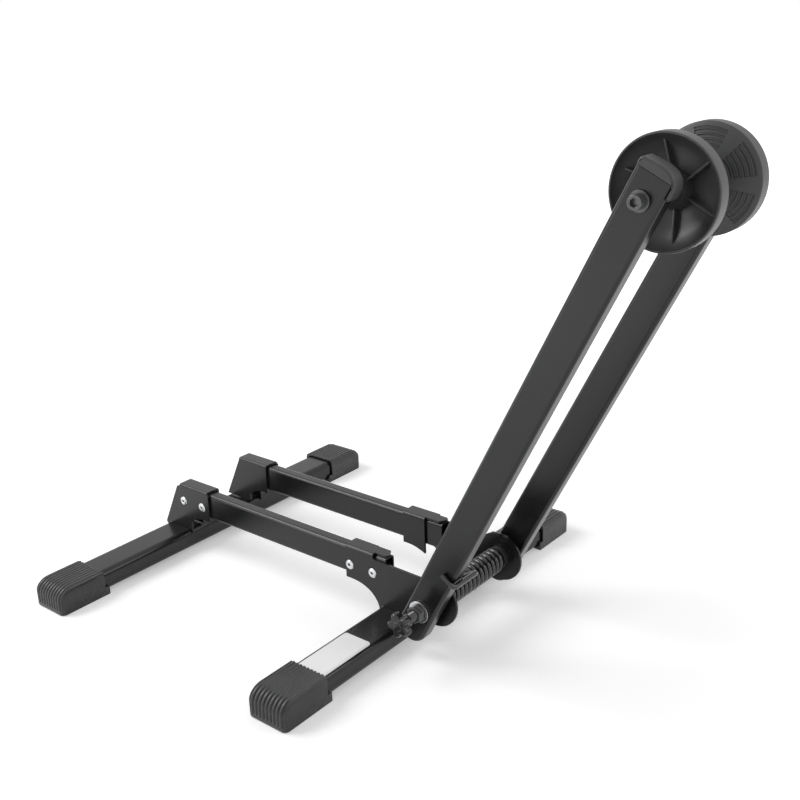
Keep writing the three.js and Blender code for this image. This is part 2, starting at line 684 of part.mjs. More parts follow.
// Lobed knob with a boss towards the arm and a blind bore for the bolt.
function starKnob() {
  const outline = [];
  const steps = KNOB_LOBES * 8;
  for (let i = 0; i < steps; i += 1) {
    const angle = (2 * Math.PI * i) / steps;
    const r = KNOB_MEAN_R + KNOB_LOBE * Math.cos(KNOB_LOBES * angle);
    outline.push([r * Math.cos(angle), r * Math.sin(angle)]);
  }
  const front = KNOB_INNER_Y - KNOB_BOSS_LENGTH;
  const body = new THREE.ExtrudeGeometry(polygon(outline), {
    depth: KNOB_THICK - 2 * KNOB_BEVEL,
    bevelThickness: KNOB_BEVEL,
    bevelSize: KNOB_BEVEL,
    bevelOffset: -KNOB_BEVEL,
    bevelSegments: 1,
    curveSegments: 1,
  });
  body.applyMatrix4(Y_UP).translate(0, front - KNOB_BEVEL, 0);
  const boss = bar(KNOB_BOSS_R, front - 2, KNOB_INNER_Y);
  const bore = bar(BOLT_R + HOLE_PLAY, front - KNOB_THICK + 3, KNOB_INNER_Y + 1);
  return geometryOf(cut(join(body, boss), bore));
}

function hexSpacer() {
  const from = -(ARM_OUTER_Y + 2 * FIT + WASHER_THICK + SPACER_LENGTH);
  const block = solid(hexBar(SPACER_HEX, from, from + SPACER_LENGTH));
  return geometryOf(cut(block, bar(BOLT_R + HOLE_PLAY, from - 1, from + SPACER_LENGTH + 1)));
}

function washer(side) {
  const from = side * (ARM_OUTER_Y + FIT);
  const to = side * (ARM_OUTER_Y + FIT + WASHER_THICK);
  return sleeve(WASHER_R, BOLT_R + HOLE_PLAY, Math.min(from, to), Math.max(from, to), 20);
}

// ---------------------------------------------------------------- rollers

// Radius and "out" position of the ridged inner face, a shallow cone.
function innerFaceAt(radius) {
  const t = (radius - ROLLER_NOSE_R) / (ROLLER_R - 0.6 - ROLLER_NOSE_R);
  return THREE.MathUtils.lerp(ROLLER_NOSE, ROLLER_RIM_IN, t);
}

// The turned body: rim band, dished web, hub and the pocket for the lock nut.
function rollerBody() {
  const bore = BOLT_R + HOLE_PLAY;
  const pocket = ROLLER_NOSE + ROLLER_POCKET_DEPTH;
  const hubEnd = ARM_INNER_Y - ROLLER_WASHER - 2 * FIT;
  const rimBore = ROLLER_R - ROLLER_WALL;
  const dish = [
    [0.965, 0.86],
    [0.87, 0.57],
    [0.67, 0.29],
    [0.36, 0.06],
  ];
  const profile = [
    [ROLLER_POCKET_R, ROLLER_NOSE],
    [ROLLER_NOSE_R, ROLLER_NOSE],
    [ROLLER_R - 0.6, ROLLER_RIM_IN],
    [ROLLER_R, ROLLER_RIM_IN + 0.8],
    [ROLLER_R, ROLLER_RIM_OUT - 0.6],
    [ROLLER_R - 0.5, ROLLER_RIM_OUT],
    [rimBore, ROLLER_RIM_OUT],
    ...dish.map(([r, rise]) => [r * rimBore, ROLLER_NOSE + ROLLER_WEB + rise * ROLLER_DISH_DEPTH]),
    [ROLLER_NOSE_R, pocket + 1],
    [ROLLER_HUB_R, pocket + 4],
    [ROLLER_HUB_R, hubEnd],
    [bore, hubEnd],
    [bore, pocket],
    [ROLLER_POCKET_R, pocket],
  ];
  return turned(profile, ROLLER_SEGMENTS);
}

// One raised arc on the inner face, its ends and steps on the body's own segments.
function ridgeArc(radius, firstStep) {
  const half = RIDGE_WIDTH / 2;
  const section = [
    [radius - half, innerFaceAt(radius - half) + 0.6],
    [radius - half, innerFaceAt(radius - half)],
    [radius - half * 0.5, innerFaceAt(radius - half * 0.5) - RIDGE_RISE],
    [radius + half * 0.5, innerFaceAt(radius + half * 0.5) - RIDGE_RISE],
    [radius + half, innerFaceAt(radius + half)],
    [radius + half, innerFaceAt(radius + half) + 0.6],
  ];
  const rings = [];
  for (let i = 0; i <= RIDGE_ARC_STEPS; i += 1) {
    const turn = (2 * Math.PI * (firstStep + i)) / ROLLER_SEGMENTS;
    const ringPoint = ([r, out]) => new THREE.Vector3(r * Math.sin(turn), out, r * Math.cos(turn));
    rings.push(section.map(ringPoint));
  }
  return loft(rings);
}

// One thin radial rib in the dish.
function dishRib(turn) {
  const floor = ROLLER_NOSE + ROLLER_WEB;
  const outline = polygon([
    [ROLLER_HUB_R + 1, floor],
    [ROLLER_R - 1, ROLLER_RIM_IN + 1.5],
    [ROLLER_R - 1, ROLLER_RIB_RIM],
    [ROLLER_HUB_R + 1, ROLLER_RIB_HUB],
  ]);
  const plate = prism(outline, ROLLER_RIB_THICK).translate(0, 0, -ROLLER_RIB_THICK / 2);
  return plate.rotateY(turn);
}

// The far roller; its "out" is +Y.
function roller() {
  const ridges = [];
  const ribs = [];
  const sectorSteps = ROLLER_SEGMENTS / ROLLER_SECTORS;
  const step = (2 * Math.PI) / ROLLER_SEGMENTS;
  for (let sector = 0; sector < ROLLER_SECTORS; sector += 1) {
    for (let i = 0; i < RIDGES_PER_SECTOR; i += 1) {
      ridges.push(ridgeArc(RIDGE_FIRST_R + i * RIDGE_PITCH, sector * sectorSteps));
    }
    const middle = sector * sectorSteps + RIDGE_ARC_STEPS / 2;
    ribs.push(dishRib(middle * step - Math.PI / 2));
  }
  return geometryOf(join(rollerBody(), ...ridges, ...ribs)).rotateY(ROLLER_TURN);
}

function rollerScrew() {
  const seat = ARM_OUTER_Y + FIT;
  const tip = ROLLER_NOSE + 0.8;
  const step = seat + SCREW_FLANGE;
  const end = step + SCREW_HEAD;
  const head = [
    [0, seat],
    [SCREW_FLANGE_R, seat],
    [SCREW_FLANGE_R, step - 0.5],
    [SCREW_FLANGE_R - 0.5, step],
    [SCREW_HEAD_R, step],
    [SCREW_HEAD_R, end - 0.6],
    [SCREW_HEAD_R - 0.6, end],
    [0, end],
  ];
  const socket = hexBar(SCREW_SOCKET_HEX, end - SCREW_SOCKET_DEPTH, end + 1);
  return geometryOf(cut(join(turned(head, 18), bar(BOLT_R, tip, seat + 1)), socket));
}

function rollerWasher() {
  const to = ARM_INNER_Y - FIT;
  return sleeve(ROLLER_WASHER_R, BOLT_R + HOLE_PLAY, to - ROLLER_WASHER, to);
}

function rollerNut() {
  const to = ROLLER_NOSE + ROLLER_POCKET_DEPTH - FIT;
  const block = solid(hexBar(NUT_HEX, to - NUT_LENGTH, to));
  return geometryOf(cut(block, bar(BOLT_R + HOLE_PLAY, to - NUT_LENGTH - 1, to + 1)));
}

// ---------------------------------------------------------------- torsion spring

// Rounds the corner at b between a and c.
function bend(a, b, c, radius) {
  const into = a.clone().sub(b).normalize();
  const away = c.clone().sub(b).normalize();
  const from = b.clone().addScaledVector(into, radius);
  const to = b.clone().addScaledVector(away, radius);
  const corner = new THREE.QuadraticBezierCurve3(from, b, to);
  return [0, 0.35, 0.65, 1].map((t) => corner.getPoint(t));
}

// Centre line in the base frame, from the hook on the near arm to the end on the front leg.
function springLine() {
  const up = new THREE.Vector3(Math.sin(ARM_LEAN), 0, Math.cos(ARM_LEAN));
  const across = new THREE.Vector3(Math.cos(ARM_LEAN), 0, -Math.sin(ARM_LEAN));
  const byArm = (v, s, y) =>
    new THREE.Vector3(PIVOT_X, y, PIVOT_Z).addScaledVector(across, v).addScaledVector(up, s);
  const clear = WIRE_R + FIT;
  const edge = ARM_WIDTH / 2 + clear;
  const face = -(ARM_OUTER_Y + clear);
  const hookEnd = byArm(HOOK_END, HOOK_HEIGHT + HOOK_RISE, face);
  const hookCorner = byArm(edge, HOOK_HEIGHT, face);
  const hookElbow = byArm(edge, HOOK_HEIGHT, -COIL_HALF);
  const reach = Math.hypot(hookElbow.x - PIVOT_X, hookElbow.z - PIVOT_Z);
  const bearing = Math.atan2(hookElbow.z - PIVOT_Z, hookElbow.x - PIVOT_X);
  const from = bearing + Math.acos(COIL_R / reach);
  const to = REST_LEG_ANGLE + 2 * Math.PI * COIL_TURNS;
  const onCoil = (angle, y) =>
    new THREE.Vector3(PIVOT_X + COIL_R * Math.cos(angle), y, PIVOT_Z + COIL_R * Math.sin(angle));
  const coilStart = onCoil(from, -COIL_HALF);
  const line = [
    hookEnd,
    ...bend(hookEnd, hookCorner, hookElbow, 4),
    ...bend(hookCorner, hookElbow, coilStart, 5),
  ];
  const steps = Math.round(((to - from) / (2 * Math.PI)) * COIL_STEPS);
  for (let i = 0; i <= steps; i += 1) {
    const t = i / steps;
    line.push(onCoil(from + (to - from) * t, COIL_HALF * (2 * t - 1)));
  }
  const tail = line[line.length - 1];
  const legFace = LEG_WIDTH / 2 + clear;
  const run = new THREE.Vector3(-Math.sin(REST_LEG_ANGLE), 0, Math.cos(REST_LEG_ANGLE));
  const knee = tail.clone().addScaledVector(run, (legFace - tail.x) / run.x);
  const toe = new THREE.Vector3(legFace, tail.y, REST_LEG_Z);
  line.push(...bend(tail, knee, toe, 2), toe);
  return line;
}

// Rings of a round wire carried along the line without twist.
function wireTube(line, radius, sides) {
  const tangents = line.map((point, i) => {
    const before = line[Math.max(i - 1, 0)];
    const after = line[Math.min(i + 1, line.length - 1)];
    return after.clone().sub(before).normalize();
  });
  let normal = new THREE.Vector3(0, 0, 1).cross(tangents[0]).normalize();
  const rings = line.map((point, i) => {
    normal = normal.clone().addScaledVector(tangents[i], -normal.dot(tangents[i])).normalize();
    const other = tangents[i].clone().cross(normal);
    const ring = [];
    for (let side = 0; side < sides; side += 1) {
      const angle = (2 * Math.PI * side) / sides;
      const spot = point.clone().addScaledVector(normal, radius * Math.cos(angle));
      ring.push(spot.addScaledVector(other, radius * Math.sin(angle)));
    }
    return ring;
  });
  return loft(rings);
}

// Least gap between stretches of the wire that aren't neighbours along it.
function leastGap(line, radius) {
  let least = Infinity;
  const fine = new THREE.CatmullRomCurve3(line, false, "centripetal").getPoints(line.length * 3);
  const apart = 15;
  for (let i = 0; i < fine.length; i += 1) {
    for (let j = i + apart; j < fine.length; j += 1) {
      least = Math.min(least, fine[i].distanceTo(fine[j]));
    }
  }
  return least - 2 * radius;
}

function torsionSpring() {
  const line = springLine();
  console.log(`spring: least gap to itself ${leastGap(line, WIRE_R).toFixed(2)} mm`);
  return wireTube(line, WIRE_R, WIRE_SIDES);
}

// ---------------------------------------------------------------- assembly

const rack = new THREE.Group();
const pivot = new THREE.Group();
rack.add(pivot);
pivot.position.set(PIVOT_X, 0, PIVOT_Z);
const arms = new THREE.Group();
arms.rotation.y = ARM_LEAN;
pivot.add(arms);

function place(parent, name, geometry, material, position = [0, 0, 0], turn = 0) {
  const mesh = new THREE.Mesh(geometry, material);
  mesh.name = name;
  mesh.position.set(...position);
  mesh.rotation.z = turn;
  parent.add(mesh);
  return mesh;
}

const SIDES = [
  { name: "near", side: -1, turn: Math.PI },
  { name: "far", side: 1, turn: 0 },
];
const ENDS = [
  { name: "rear", x: -LEG_SPACING, bracket: rearBracket(), rivets: REAR_RIVETS },
  { name: "front", x: 0, bracket: frontBracket(), rivets: FRONT_RIVETS },
];

const capGeometry = footCap();
const rivetGeometry = rivet();
for (const end of ENDS) {
  place(rack, `${end.name}_leg`, legTube(), powderBlack, [end.x, 0, 0]);
  for (const { name, side, turn } of SIDES) {
    const at = [end.x, side * LEG_REACH, 0];
    place(rack, `${end.name}_foot_cap_${name}`, capGeometry, capPlastic, at, turn);
    const bracket = bracketFor(side, end.bracket);
    place(rack, `${end.name}_bracket_${name}`, bracket, powderBlack, [end.x, 0, 0]);
    end.rivets.forEach(([x, z], i) => {
      const seat = [end.x + x, side * CHEEK_OUTER_Y, z];
      place(rack, `${end.name}_rivet_${name}_${i + 1}`, rivetGeometry, zincSteel, seat, turn);
    });
  }
}

const armGeometry = armTube();
const plugGeometry = armPlug();
const rollerGeometry = roller();
const screwGeometry = rollerScrew();
const rollerWasherGeometry = rollerWasher();
const nutGeometry = rollerNut();
const atRoller = [0, 0, ROLLER_HEIGHT];
for (const { name, side, turn } of SIDES) {
  place(rack, `${name}_rail`, rail(side), powderBlack);
  const atArm = [0, side * ARM_CENTRE_Y, 0];
  place(arms, `${name}_arm`, armGeometry, powderBlack, atArm);
  place(arms, `${name}_arm_plug`, plugGeometry, plugPlastic, atArm);
  place(arms, `${name}_roller`, rollerGeometry, rollerPlastic, atRoller, turn);
  place(arms, `${name}_roller_screw`, screwGeometry, blackSteel, atRoller, turn);
  place(arms, `${name}_roller_washer`, rollerWasherGeometry, blackSteel, atRoller, turn);
  place(arms, `${name}_roller_nut`, nutGeometry, zincSteel, atRoller, turn);
  place(arms, `${name}_pivot_washer`, washer(side), side < 0 ? chrome : zincSteel);
  const bushY = [side * CHEEK_OUTER_Y, side * (ARM_INNER_Y - FIT)].sort((a, b) => a - b);
  const bush = sleeve(BUSH_R, BOLT_R + HOLE_PLAY, bushY[0], bushY[1]);
  place(pivot, `${name}_arm_bush`, bush, bushPlastic);
  const coilY = COIL_HALF + WIRE_R + FIT;
  const earY = CHEEK_OUTER_Y - SHEET;
  const ring = [side * coilY, side * earY].sort((a, b) => a - b);
  const springBush = sleeve(SPRING_BUSH_R, SLEEVE_R + FIT, ring[0], ring[1]);
  place(pivot, `${name}_spring_bush`, springBush, bushPlastic);
}
place(arms, "pivot_bolt", pivotBolt(), zincSteel);
place(arms, "hex_spacer", hexSpacer(), blackSteel);
place(arms, "star_knob", starKnob(), knobPlastic);
const earGap = CHEEK_OUTER_Y - SHEET - FIT;
place(pivot, "pivot_sleeve", sleeve(SLEEVE_R, BOLT_R + HOLE_PLAY, -earGap, earGap), blackSteel);
place(rack, "torsion_spring", torsionSpring(), springBlack);

// Centre the whole over its own footprint.
const group = new THREE.Group();
group.add(rack);
group.updateMatrixWorld(true);
const box = new THREE.Box3().setFromObject(rack, true);
rack.position.x = -(box.min.x + box.max.x) / 2;
rack.position.y = -(box.min.y + box.max.y) / 2;
group.updateMatrixWorld(true);

export default group;
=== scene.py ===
"""Looks for the floor bike rack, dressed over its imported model.

Sizes are in millimetres, measured as the part itself is: x from the middle of the front leg
towards the arms, y from the rack's mid plane, z up from the floor. Meshes become metres, and
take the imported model's place, only when a piece is published.
"""

import logging
import math
from collections.abc import Callable, Iterable, Sequence
from dataclasses import dataclass, field
from enum import Enum

import bmesh
import bpy
from mathutils import Matrix, Vector
from mathutils.geometry import delaunay_2d_cdt


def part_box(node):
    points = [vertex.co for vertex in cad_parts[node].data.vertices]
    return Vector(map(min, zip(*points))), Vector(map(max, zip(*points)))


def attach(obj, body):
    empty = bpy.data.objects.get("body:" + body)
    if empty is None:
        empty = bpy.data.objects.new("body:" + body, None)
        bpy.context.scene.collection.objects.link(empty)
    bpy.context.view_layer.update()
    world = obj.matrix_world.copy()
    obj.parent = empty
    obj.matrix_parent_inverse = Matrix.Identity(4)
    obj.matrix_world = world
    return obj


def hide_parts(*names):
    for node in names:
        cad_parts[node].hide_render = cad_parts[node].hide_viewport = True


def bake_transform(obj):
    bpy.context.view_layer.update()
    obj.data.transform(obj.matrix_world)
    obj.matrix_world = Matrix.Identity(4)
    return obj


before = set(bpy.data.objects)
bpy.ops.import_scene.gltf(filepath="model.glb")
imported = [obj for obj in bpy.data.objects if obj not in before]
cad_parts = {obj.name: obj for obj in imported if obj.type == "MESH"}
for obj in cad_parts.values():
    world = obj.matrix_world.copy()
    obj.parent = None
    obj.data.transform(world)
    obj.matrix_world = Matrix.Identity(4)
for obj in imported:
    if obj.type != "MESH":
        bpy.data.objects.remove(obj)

LOG = logging.getLogger("bike_rack")
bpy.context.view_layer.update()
MM = 0.001
FRONT_LEG_X = sum(corner.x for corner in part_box("front_leg")) / 2
FIT = 0.3

Point = tuple[float, float]
Bend = Callable[[float, float], tuple[Vector, Vector]]


# ------------------------------------------------------------------ named choices


class Body(Enum):
    """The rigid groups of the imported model."""

    BASE = "base"
    ARMS = "arm_pair"
    KNOB = "clamp_knob"
    NEAR_ROLLER = "near_roller_wheel"
    FAR_ROLLER = "far_roller_wheel"


class Side(Enum):
    """Which side of the rack a piece is on, with the sign of its y."""

    NEAR = -1
    FAR = 1

    @property
    def word(self) -> str:
        """The side's name, as the nodes spell it."""
        return self.name.lower()

    @property
    def turn(self) -> Matrix:
        """Half a turn about the upright for the near side, nothing for the far side."""
        return Matrix.Rotation(math.pi if self is Side.NEAR else 0.0, 4, "Z")


class End(Enum):
    """Which cross leg a piece belongs to, with the x of that leg's middle."""

    REAR = -278.8
    FRONT = 0.0

    @property
    def word(self) -> str:
        """The end's name, as the nodes spell it."""
        return self.name.lower()


class Plane(Enum):
    """The plane that an outline is drawn in. Its depth runs along the axis left over."""

    XZ = "xz"
    YZ = "yz"
    XY = "xy"

    def lift(self, u: float, v: float, depth: float) -> Vector:
        """The point in space of a drawn point.

        Args:
            u: first drawn coordinate.
            v: second drawn coordinate.
            depth: distance along the axis left over.

        Returns:
            The point, in millimetres.
        """
        if self is Plane.XZ:
            return Vector((u, depth, v))
        if self is Plane.YZ:
            return Vector((depth, u, v))
        return Vector((u, v, depth))


# ------------------------------------------------------------------ drawing


class Outline:
    """A closed flat path of lines, arcs and soft corners."""

    def __init__(self, x: float, y: float) -> None:
        """Starts the path at a point."""
        self.points: list[Point] = [(x, y)]

    def to(self, *points: Point) -> "Outline":
        """Runs straight to each point in turn."""
        self.points.extend(points)
        return self

    def curve(self, control: Point, end: Point, steps: int = 10) -> "Outline":
        """Runs along a parabola.

        Args:
            control: where the two end tangents meet.
            end: the last point.
            steps: number of straight steps.

        Returns:
            The outline itself.
        """
        sx, sy = self.points[-1]
        for i in range(1, steps + 1):
            t = i / steps
            a, b, c = (1 - t) ** 2, 2 * t * (1 - t), t * t
            x = a * sx + b * control[0] + c * end[0]
            y = a * sy + b * control[1] + c * end[1]
            self.points.append((x, y))
        return self

    def arc(
        self, centre: Point, radius: float, start: float, end: float, steps: int = 12
    ) -> "Outline":
        """Runs round part of a circle.

        Args:
            centre: the circle's centre.
            radius: its radius.
            start: first angle, in degrees.
            end: last angle, in degrees.
            steps: number of straight steps.

        Returns:
            The outline itself.
        """
        for i in range(steps + 1):
            angle = math.radians(start + (end - start) * i / steps)
            x = centre[0] + radius * math.cos(angle)
            self.points.append((x, centre[1] + radius * math.sin(angle)))
        return self

    @classmethod
    def rounded(
        cls, size: Point, radius: float, centre: Point = (0.0, 0.0), steps: int = 8
    ) -> "Outline":
        """A rectangle with round corners.

        Args:
            size: width and height.
            radius: corner radius.
            centre: middle of the rectangle.
            steps: steps in each corner.

        Returns:
            The closed outline.
        """
        w, h = size[0] / 2 - radius, size[1] / 2 - radius
        x, y = centre
        path = cls(x + w, y - h - radius)
        path.points.clear()
        for sx, sy, start in ((1, -1, -90), (1, 1, 0), (-1, 1, 90), (-1, -1, 180)):
            path.arc((x + sx * w, y + sy * h), radius, start, start + 90, steps)
        return path

    @classmethod
    def ring(cls, radius: float, steps: int = 48, centre: Point = (0.0, 0.0)) -> "Outline":
        """A circle, or a regular polygon where there are few steps.

        Args:
            radius: distance from the middle to each corner.
            steps: number of corners.
            centre: the middle.

        Returns:
            The closed outline.
        """
        path = cls(centre[0] + radius, centre[1])
        for i in range(1, steps):
            angle = 2 * math.pi * i / steps
            x = centre[0] + radius * math.cos(angle)
            path.points.append((x, centre[1] + radius * math.sin(angle)))
        return path

    def holds(self, x: float, y: float) -> bool:
        """Whether a point lies inside the path."""
        inside = False
        for (ax, ay), (bx, by) in zip(self.points, self.points[1:] + self.points[:1]):
            if (ay > y) != (by > y) and x < ax + (y - ay) / (by - ay) * (bx - ax):
                inside = not inside
        return inside

    @classmethod
    def hexagon(cls, across: float) -> "Outline":
        """A hexagon of that size across its flats."""
        return cls.ring(across / math.sqrt(3), 6)


class Draft:
    """A mesh being drawn in millimetres, before it is published as a piece."""

    def __init__(self) -> None:
        """Starts an empty mesh."""
        self.bm = bmesh.new()

    @staticmethod
    def _filled(loops: Sequence[Outline]) -> bmesh.types.BMesh:
        """A flat mesh inside the first loop and outside the others."""
        coords: list[Vector] = []
        edges: list[tuple[int, int]] = []
        for loop in loops:
            first, count = len(coords), len(loop.points)
            coords += [Vector(point) for point in loop.points]
            edges += [(first + i, first + (i + 1) % count) for i in range(count)]
        verts, _, faces, *_ = delaunay_2d_cdt(coords, edges, [], 1, 1e-4)
        flat = bmesh.new()
        made = [flat.verts.new((v.x, v.y, 0.0)) for v in verts]
        for face in faces:
            middle = sum((verts[i] for i in face), Vector((0, 0))) / len(face)
            if sum(loop.holds(middle.x, middle.y) for loop in loops) % 2:
                flat.faces.new([made[i] for i in face])
        inner = [edge for edge in flat.edges if len(edge.link_faces) == 2]
        bmesh.ops.dissolve_limit(flat, angle_limit=0.01, verts=[], edges=inner)
        return flat

    def _slab(
        self,
        flat: bmesh.types.BMesh,
        lower: Callable[[Vector], Vector],
        upper: Callable[[Vector], Vector],
    ) -> "Draft":
        """Adds both faces of a flat mesh and the walls along its open edges."""
        used = [v for v in flat.verts if v.link_faces]
        below = {v: self.bm.verts.new(lower(v.co)) for v in used}
        above = {v: self.bm.verts.new(upper(v.co)) for v in used}
        for face in flat.faces:
            self.bm.faces.new([below[v] for v in reversed(face.verts)])
            self.bm.faces.new([above[v] for v in face.verts])
        for edge in flat.edges:
            if len(edge.link_faces) == 1:
                a, b = edge.verts
                self.bm.faces.new([below[a], below[b], above[b], above[a]])
        flat.free()
        return self

    def prism(
        self, loops: Sequence[Outline], plane: Plane, low: float, high: float
    ) -> "Draft":
        """Adds a straight prism.

        Args:
            loops: the outline, then any holes in it.
            plane: the plane that they are drawn in.
            low: where the depth starts.
            high: where it ends.

        Returns:
            The draft itself.
        """
        flat = self._filled(loops)
        return self._slab(
            flat,
            lambda co: plane.lift(co.x, co.y, low),
            lambda co: plane.lift(co.x, co.y, high),
        )

    def sheet(
        self, pattern: Sequence[Outline], bend: Bend, creases: Iterable[float], gauge: float
    ) -> "Draft":
        """Adds sheet metal or paper, cut flat and then bent.

        Args:
            pattern: the flat blank and its holes, as (along the fold, across the folds).
            bend: gives the middle of the sheet and its normal for a flat point.
            creases: where, across the folds, the mesh needs an edge to bend at.
            gauge: thickness of the sheet.

        Returns:
            The draft itself.
        """
        flat = self._filled(pattern)
        for crease in creases:
            geom = flat.verts[:] + flat.edges[:] + flat.faces[:]
            at = Vector((0, crease, 0))
            bmesh.ops.bisect_plane(flat, geom=geom, plane_co=at, plane_no=(0, 1, 0), dist=1e-4)

        def layer(share: float) -> Callable[[Vector], Vector]:
            """The mapping to a layer at that share of the gauge from the middle."""

            def place(co: Vector) -> Vector:
                """The bent place of one flat point."""
                middle, normal = bend(co.x, co.y)
                return middle + normal * gauge * share

            return place

        return self._slab(flat, layer(-0.5), layer(0.5))

    def skin(self, rings: Sequence[Sequence[Vector]], closed: bool = False) -> "Draft":
        """Adds a skin over rings of equal length.

        Args:
            rings: the points of each ring, in order.
            closed: whether the last ring joins the first; otherwise the ends are capped.

        Returns:
            The draft itself.
        """
        rows = [[self.bm.verts.new(point) for point in ring] for ring in rings]
        pairs = list(zip(rows, rows[1:]))
        if closed:
            pairs.append((rows[-1], rows[0]))
        sides = len(rows[0])
        for low, high in pairs:
            for i in range(sides):
                j = (i + 1) % sides
                self.bm.faces.new((low[i], low[j], high[j], high[i]))
        if not closed:
            self.bm.faces.new(list(reversed(rows[0])))
            self.bm.faces.new(rows[-1])
        return self

    def turned(self, profile: Sequence[Point], sides: int = 64) -> "Draft":
        """Adds a shape turned about Y.

        Args:
            profile: (radius, y) points; it is closed here unless it ends on the axis.
            sides: number of sides.

        Returns:
            The draft itself.
        """
        rings = []
        for radius, y in profile:
            angles = [2 * math.pi * i / sides for i in range(sides)]
            ring = [Vector((radius * math.cos(a), y, radius * math.sin(a))) for a in angles]
            rings.append(ring)
        self.skin(rings, closed=profile[0][0] > 0)
        bmesh.ops.remove_doubles(self.bm, verts=self.bm.verts, dist=1e-4)
        return self

    def add(self, other: "Draft") -> "Draft":
        """Takes another draft's mesh in, beside its own."""
        mesh = bpy.data.meshes.new("draft")
        other.bm.to_mesh(mesh)
        other.bm.free()
        self.bm.from_mesh(mesh)
        bpy.data.meshes.remove(mesh)
        return self

    def move(self, *steps: Matrix) -> "Draft":
        """Applies matrices in turn, the first one first."""
        for step in steps:
            bmesh.ops.transform(self.bm, matrix=step, verts=self.bm.verts)
        return self

    def shift(self, x: float = 0.0, y: float = 0.0, z: float = 0.0) -> "Draft":
        """Moves the mesh along the axes."""
        return self.move(Matrix.Translation((x, y, z)))

    def to_side(self, side: Side) -> "Draft":
        """Mirrors a far-side mesh for the near side, or leaves it for the far side."""
        return self.move(Matrix.Diagonal((1, side.value, 1, 1)))

    def ease(
        self,
        radius: float,
        steps: int = 2,
        limit: float = 40.0,
        where: Callable[[Vector], bool] = lambda middle: True,
        held: bool = True,
    ) -> "Draft":
        """Rounds the sharp edges.

        Args:
            radius: size of the rounding.
            steps: faces across it.
            limit: least angle between two faces, in degrees, that counts as sharp.
            where: tells from an edge's middle whether it is rounded.
            held: whether the rounding shrinks where edges are short.

        Returns:
            The draft itself.
        """
        self._face_outwards()
        edges = [
            edge
            for edge in self.bm.edges
            if edge.is_manifold
            and edge.calc_face_angle(0.0) > math.radians(limit)
            and where((edge.verts[0].co + edge.verts[1].co) / 2)
        ]
        bmesh.ops.bevel(
            self.bm,
            geom=edges,
            offset=radius,
            segments=steps,
            profile=0.5,
            affect="EDGES",
            clamp_overlap=held,
        )
        return self

    def carve(self, tool: "Draft") -> "Draft":
        """Cuts another draft's shape out of this one."""
        body, cutter = self.as_object("body"), tool.as_object("cutter")
        cut = body.modifiers.new("cut", "BOOLEAN")
        cut.operation, cut.solver, cut.object = "DIFFERENCE", "EXACT", cutter
        result = bpy.data.meshes.new_from_object(
            body.evaluated_get(bpy.context.evaluated_depsgraph_get())
        )
        self.bm = bmesh.new()
        self.bm.from_mesh(result)
        for spent in (body, cutter):
            bpy.data.meshes.remove(spent.data)
        bpy.data.meshes.remove(result)
        return self

    def _face_outwards(self) -> None:
        """Turns every face outwards."""
        bmesh.ops.recalc_face_normals(self.bm, faces=self.bm.faces)

    def as_object(self, name: str) -> bpy.types.Object:
        """Ends the draft as a linked object, still in millimetres."""
        self._face_outwards()
        mesh = bpy.data.meshes.new(name)
        self.bm.to_mesh(mesh)
        self.bm.free()
        made = bpy.data.objects.new(name, mesh)
        bpy.context.scene.collection.objects.link(made)
        return made

    def publish(
        self,
        name: str,
        finish: "Finish",
        body: Body | None,
        stands_for: Sequence[str] = (),
        smooth: float = 34.0,
    ) -> bpy.types.Object:
        """Ends the draft as a piece of the rack.

        Args:
            name: name of the piece.
            finish: what its surface is finished in.
            body: the rigid group that it moves with; None leaves that to the caller.
            stands_for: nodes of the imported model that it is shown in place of.
            smooth: edges above this angle, in degrees, stay sharp.

        Returns:
            The piece.
        """
        self.move(Matrix.Diagonal((MM, MM, MM, 1)), Matrix.Translation((FRONT_LEG_X, 0, 0)))
        piece = self.as_object(name)
        piece.data.shade_smooth()
        piece.data.set_sharp_from_angle(angle=math.radians(smooth))
        even = piece.modifiers.new("even", "WEIGHTED_NORMAL")
        even.keep_sharp = True
        shaded = bpy.data.meshes.new_from_object(
            piece.evaluated_get(bpy.context.evaluated_depsgraph_get())
        )
        piece.modifiers.clear()
        rough, piece.data = piece.data, shaded
        bpy.data.meshes.remove(rough)
        shaded.name = name
        shaded.materials.clear()
        shaded.materials.append(finish.material())
        if stands_for:
            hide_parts(*stands_for)
        if body is not None:
            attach(piece, body.value)
        LOG.info("%s: %d faces, %s", name, len(shaded.polygons), finish.slot)
        return piece


# ------------------------------------------------------------------ shader effects


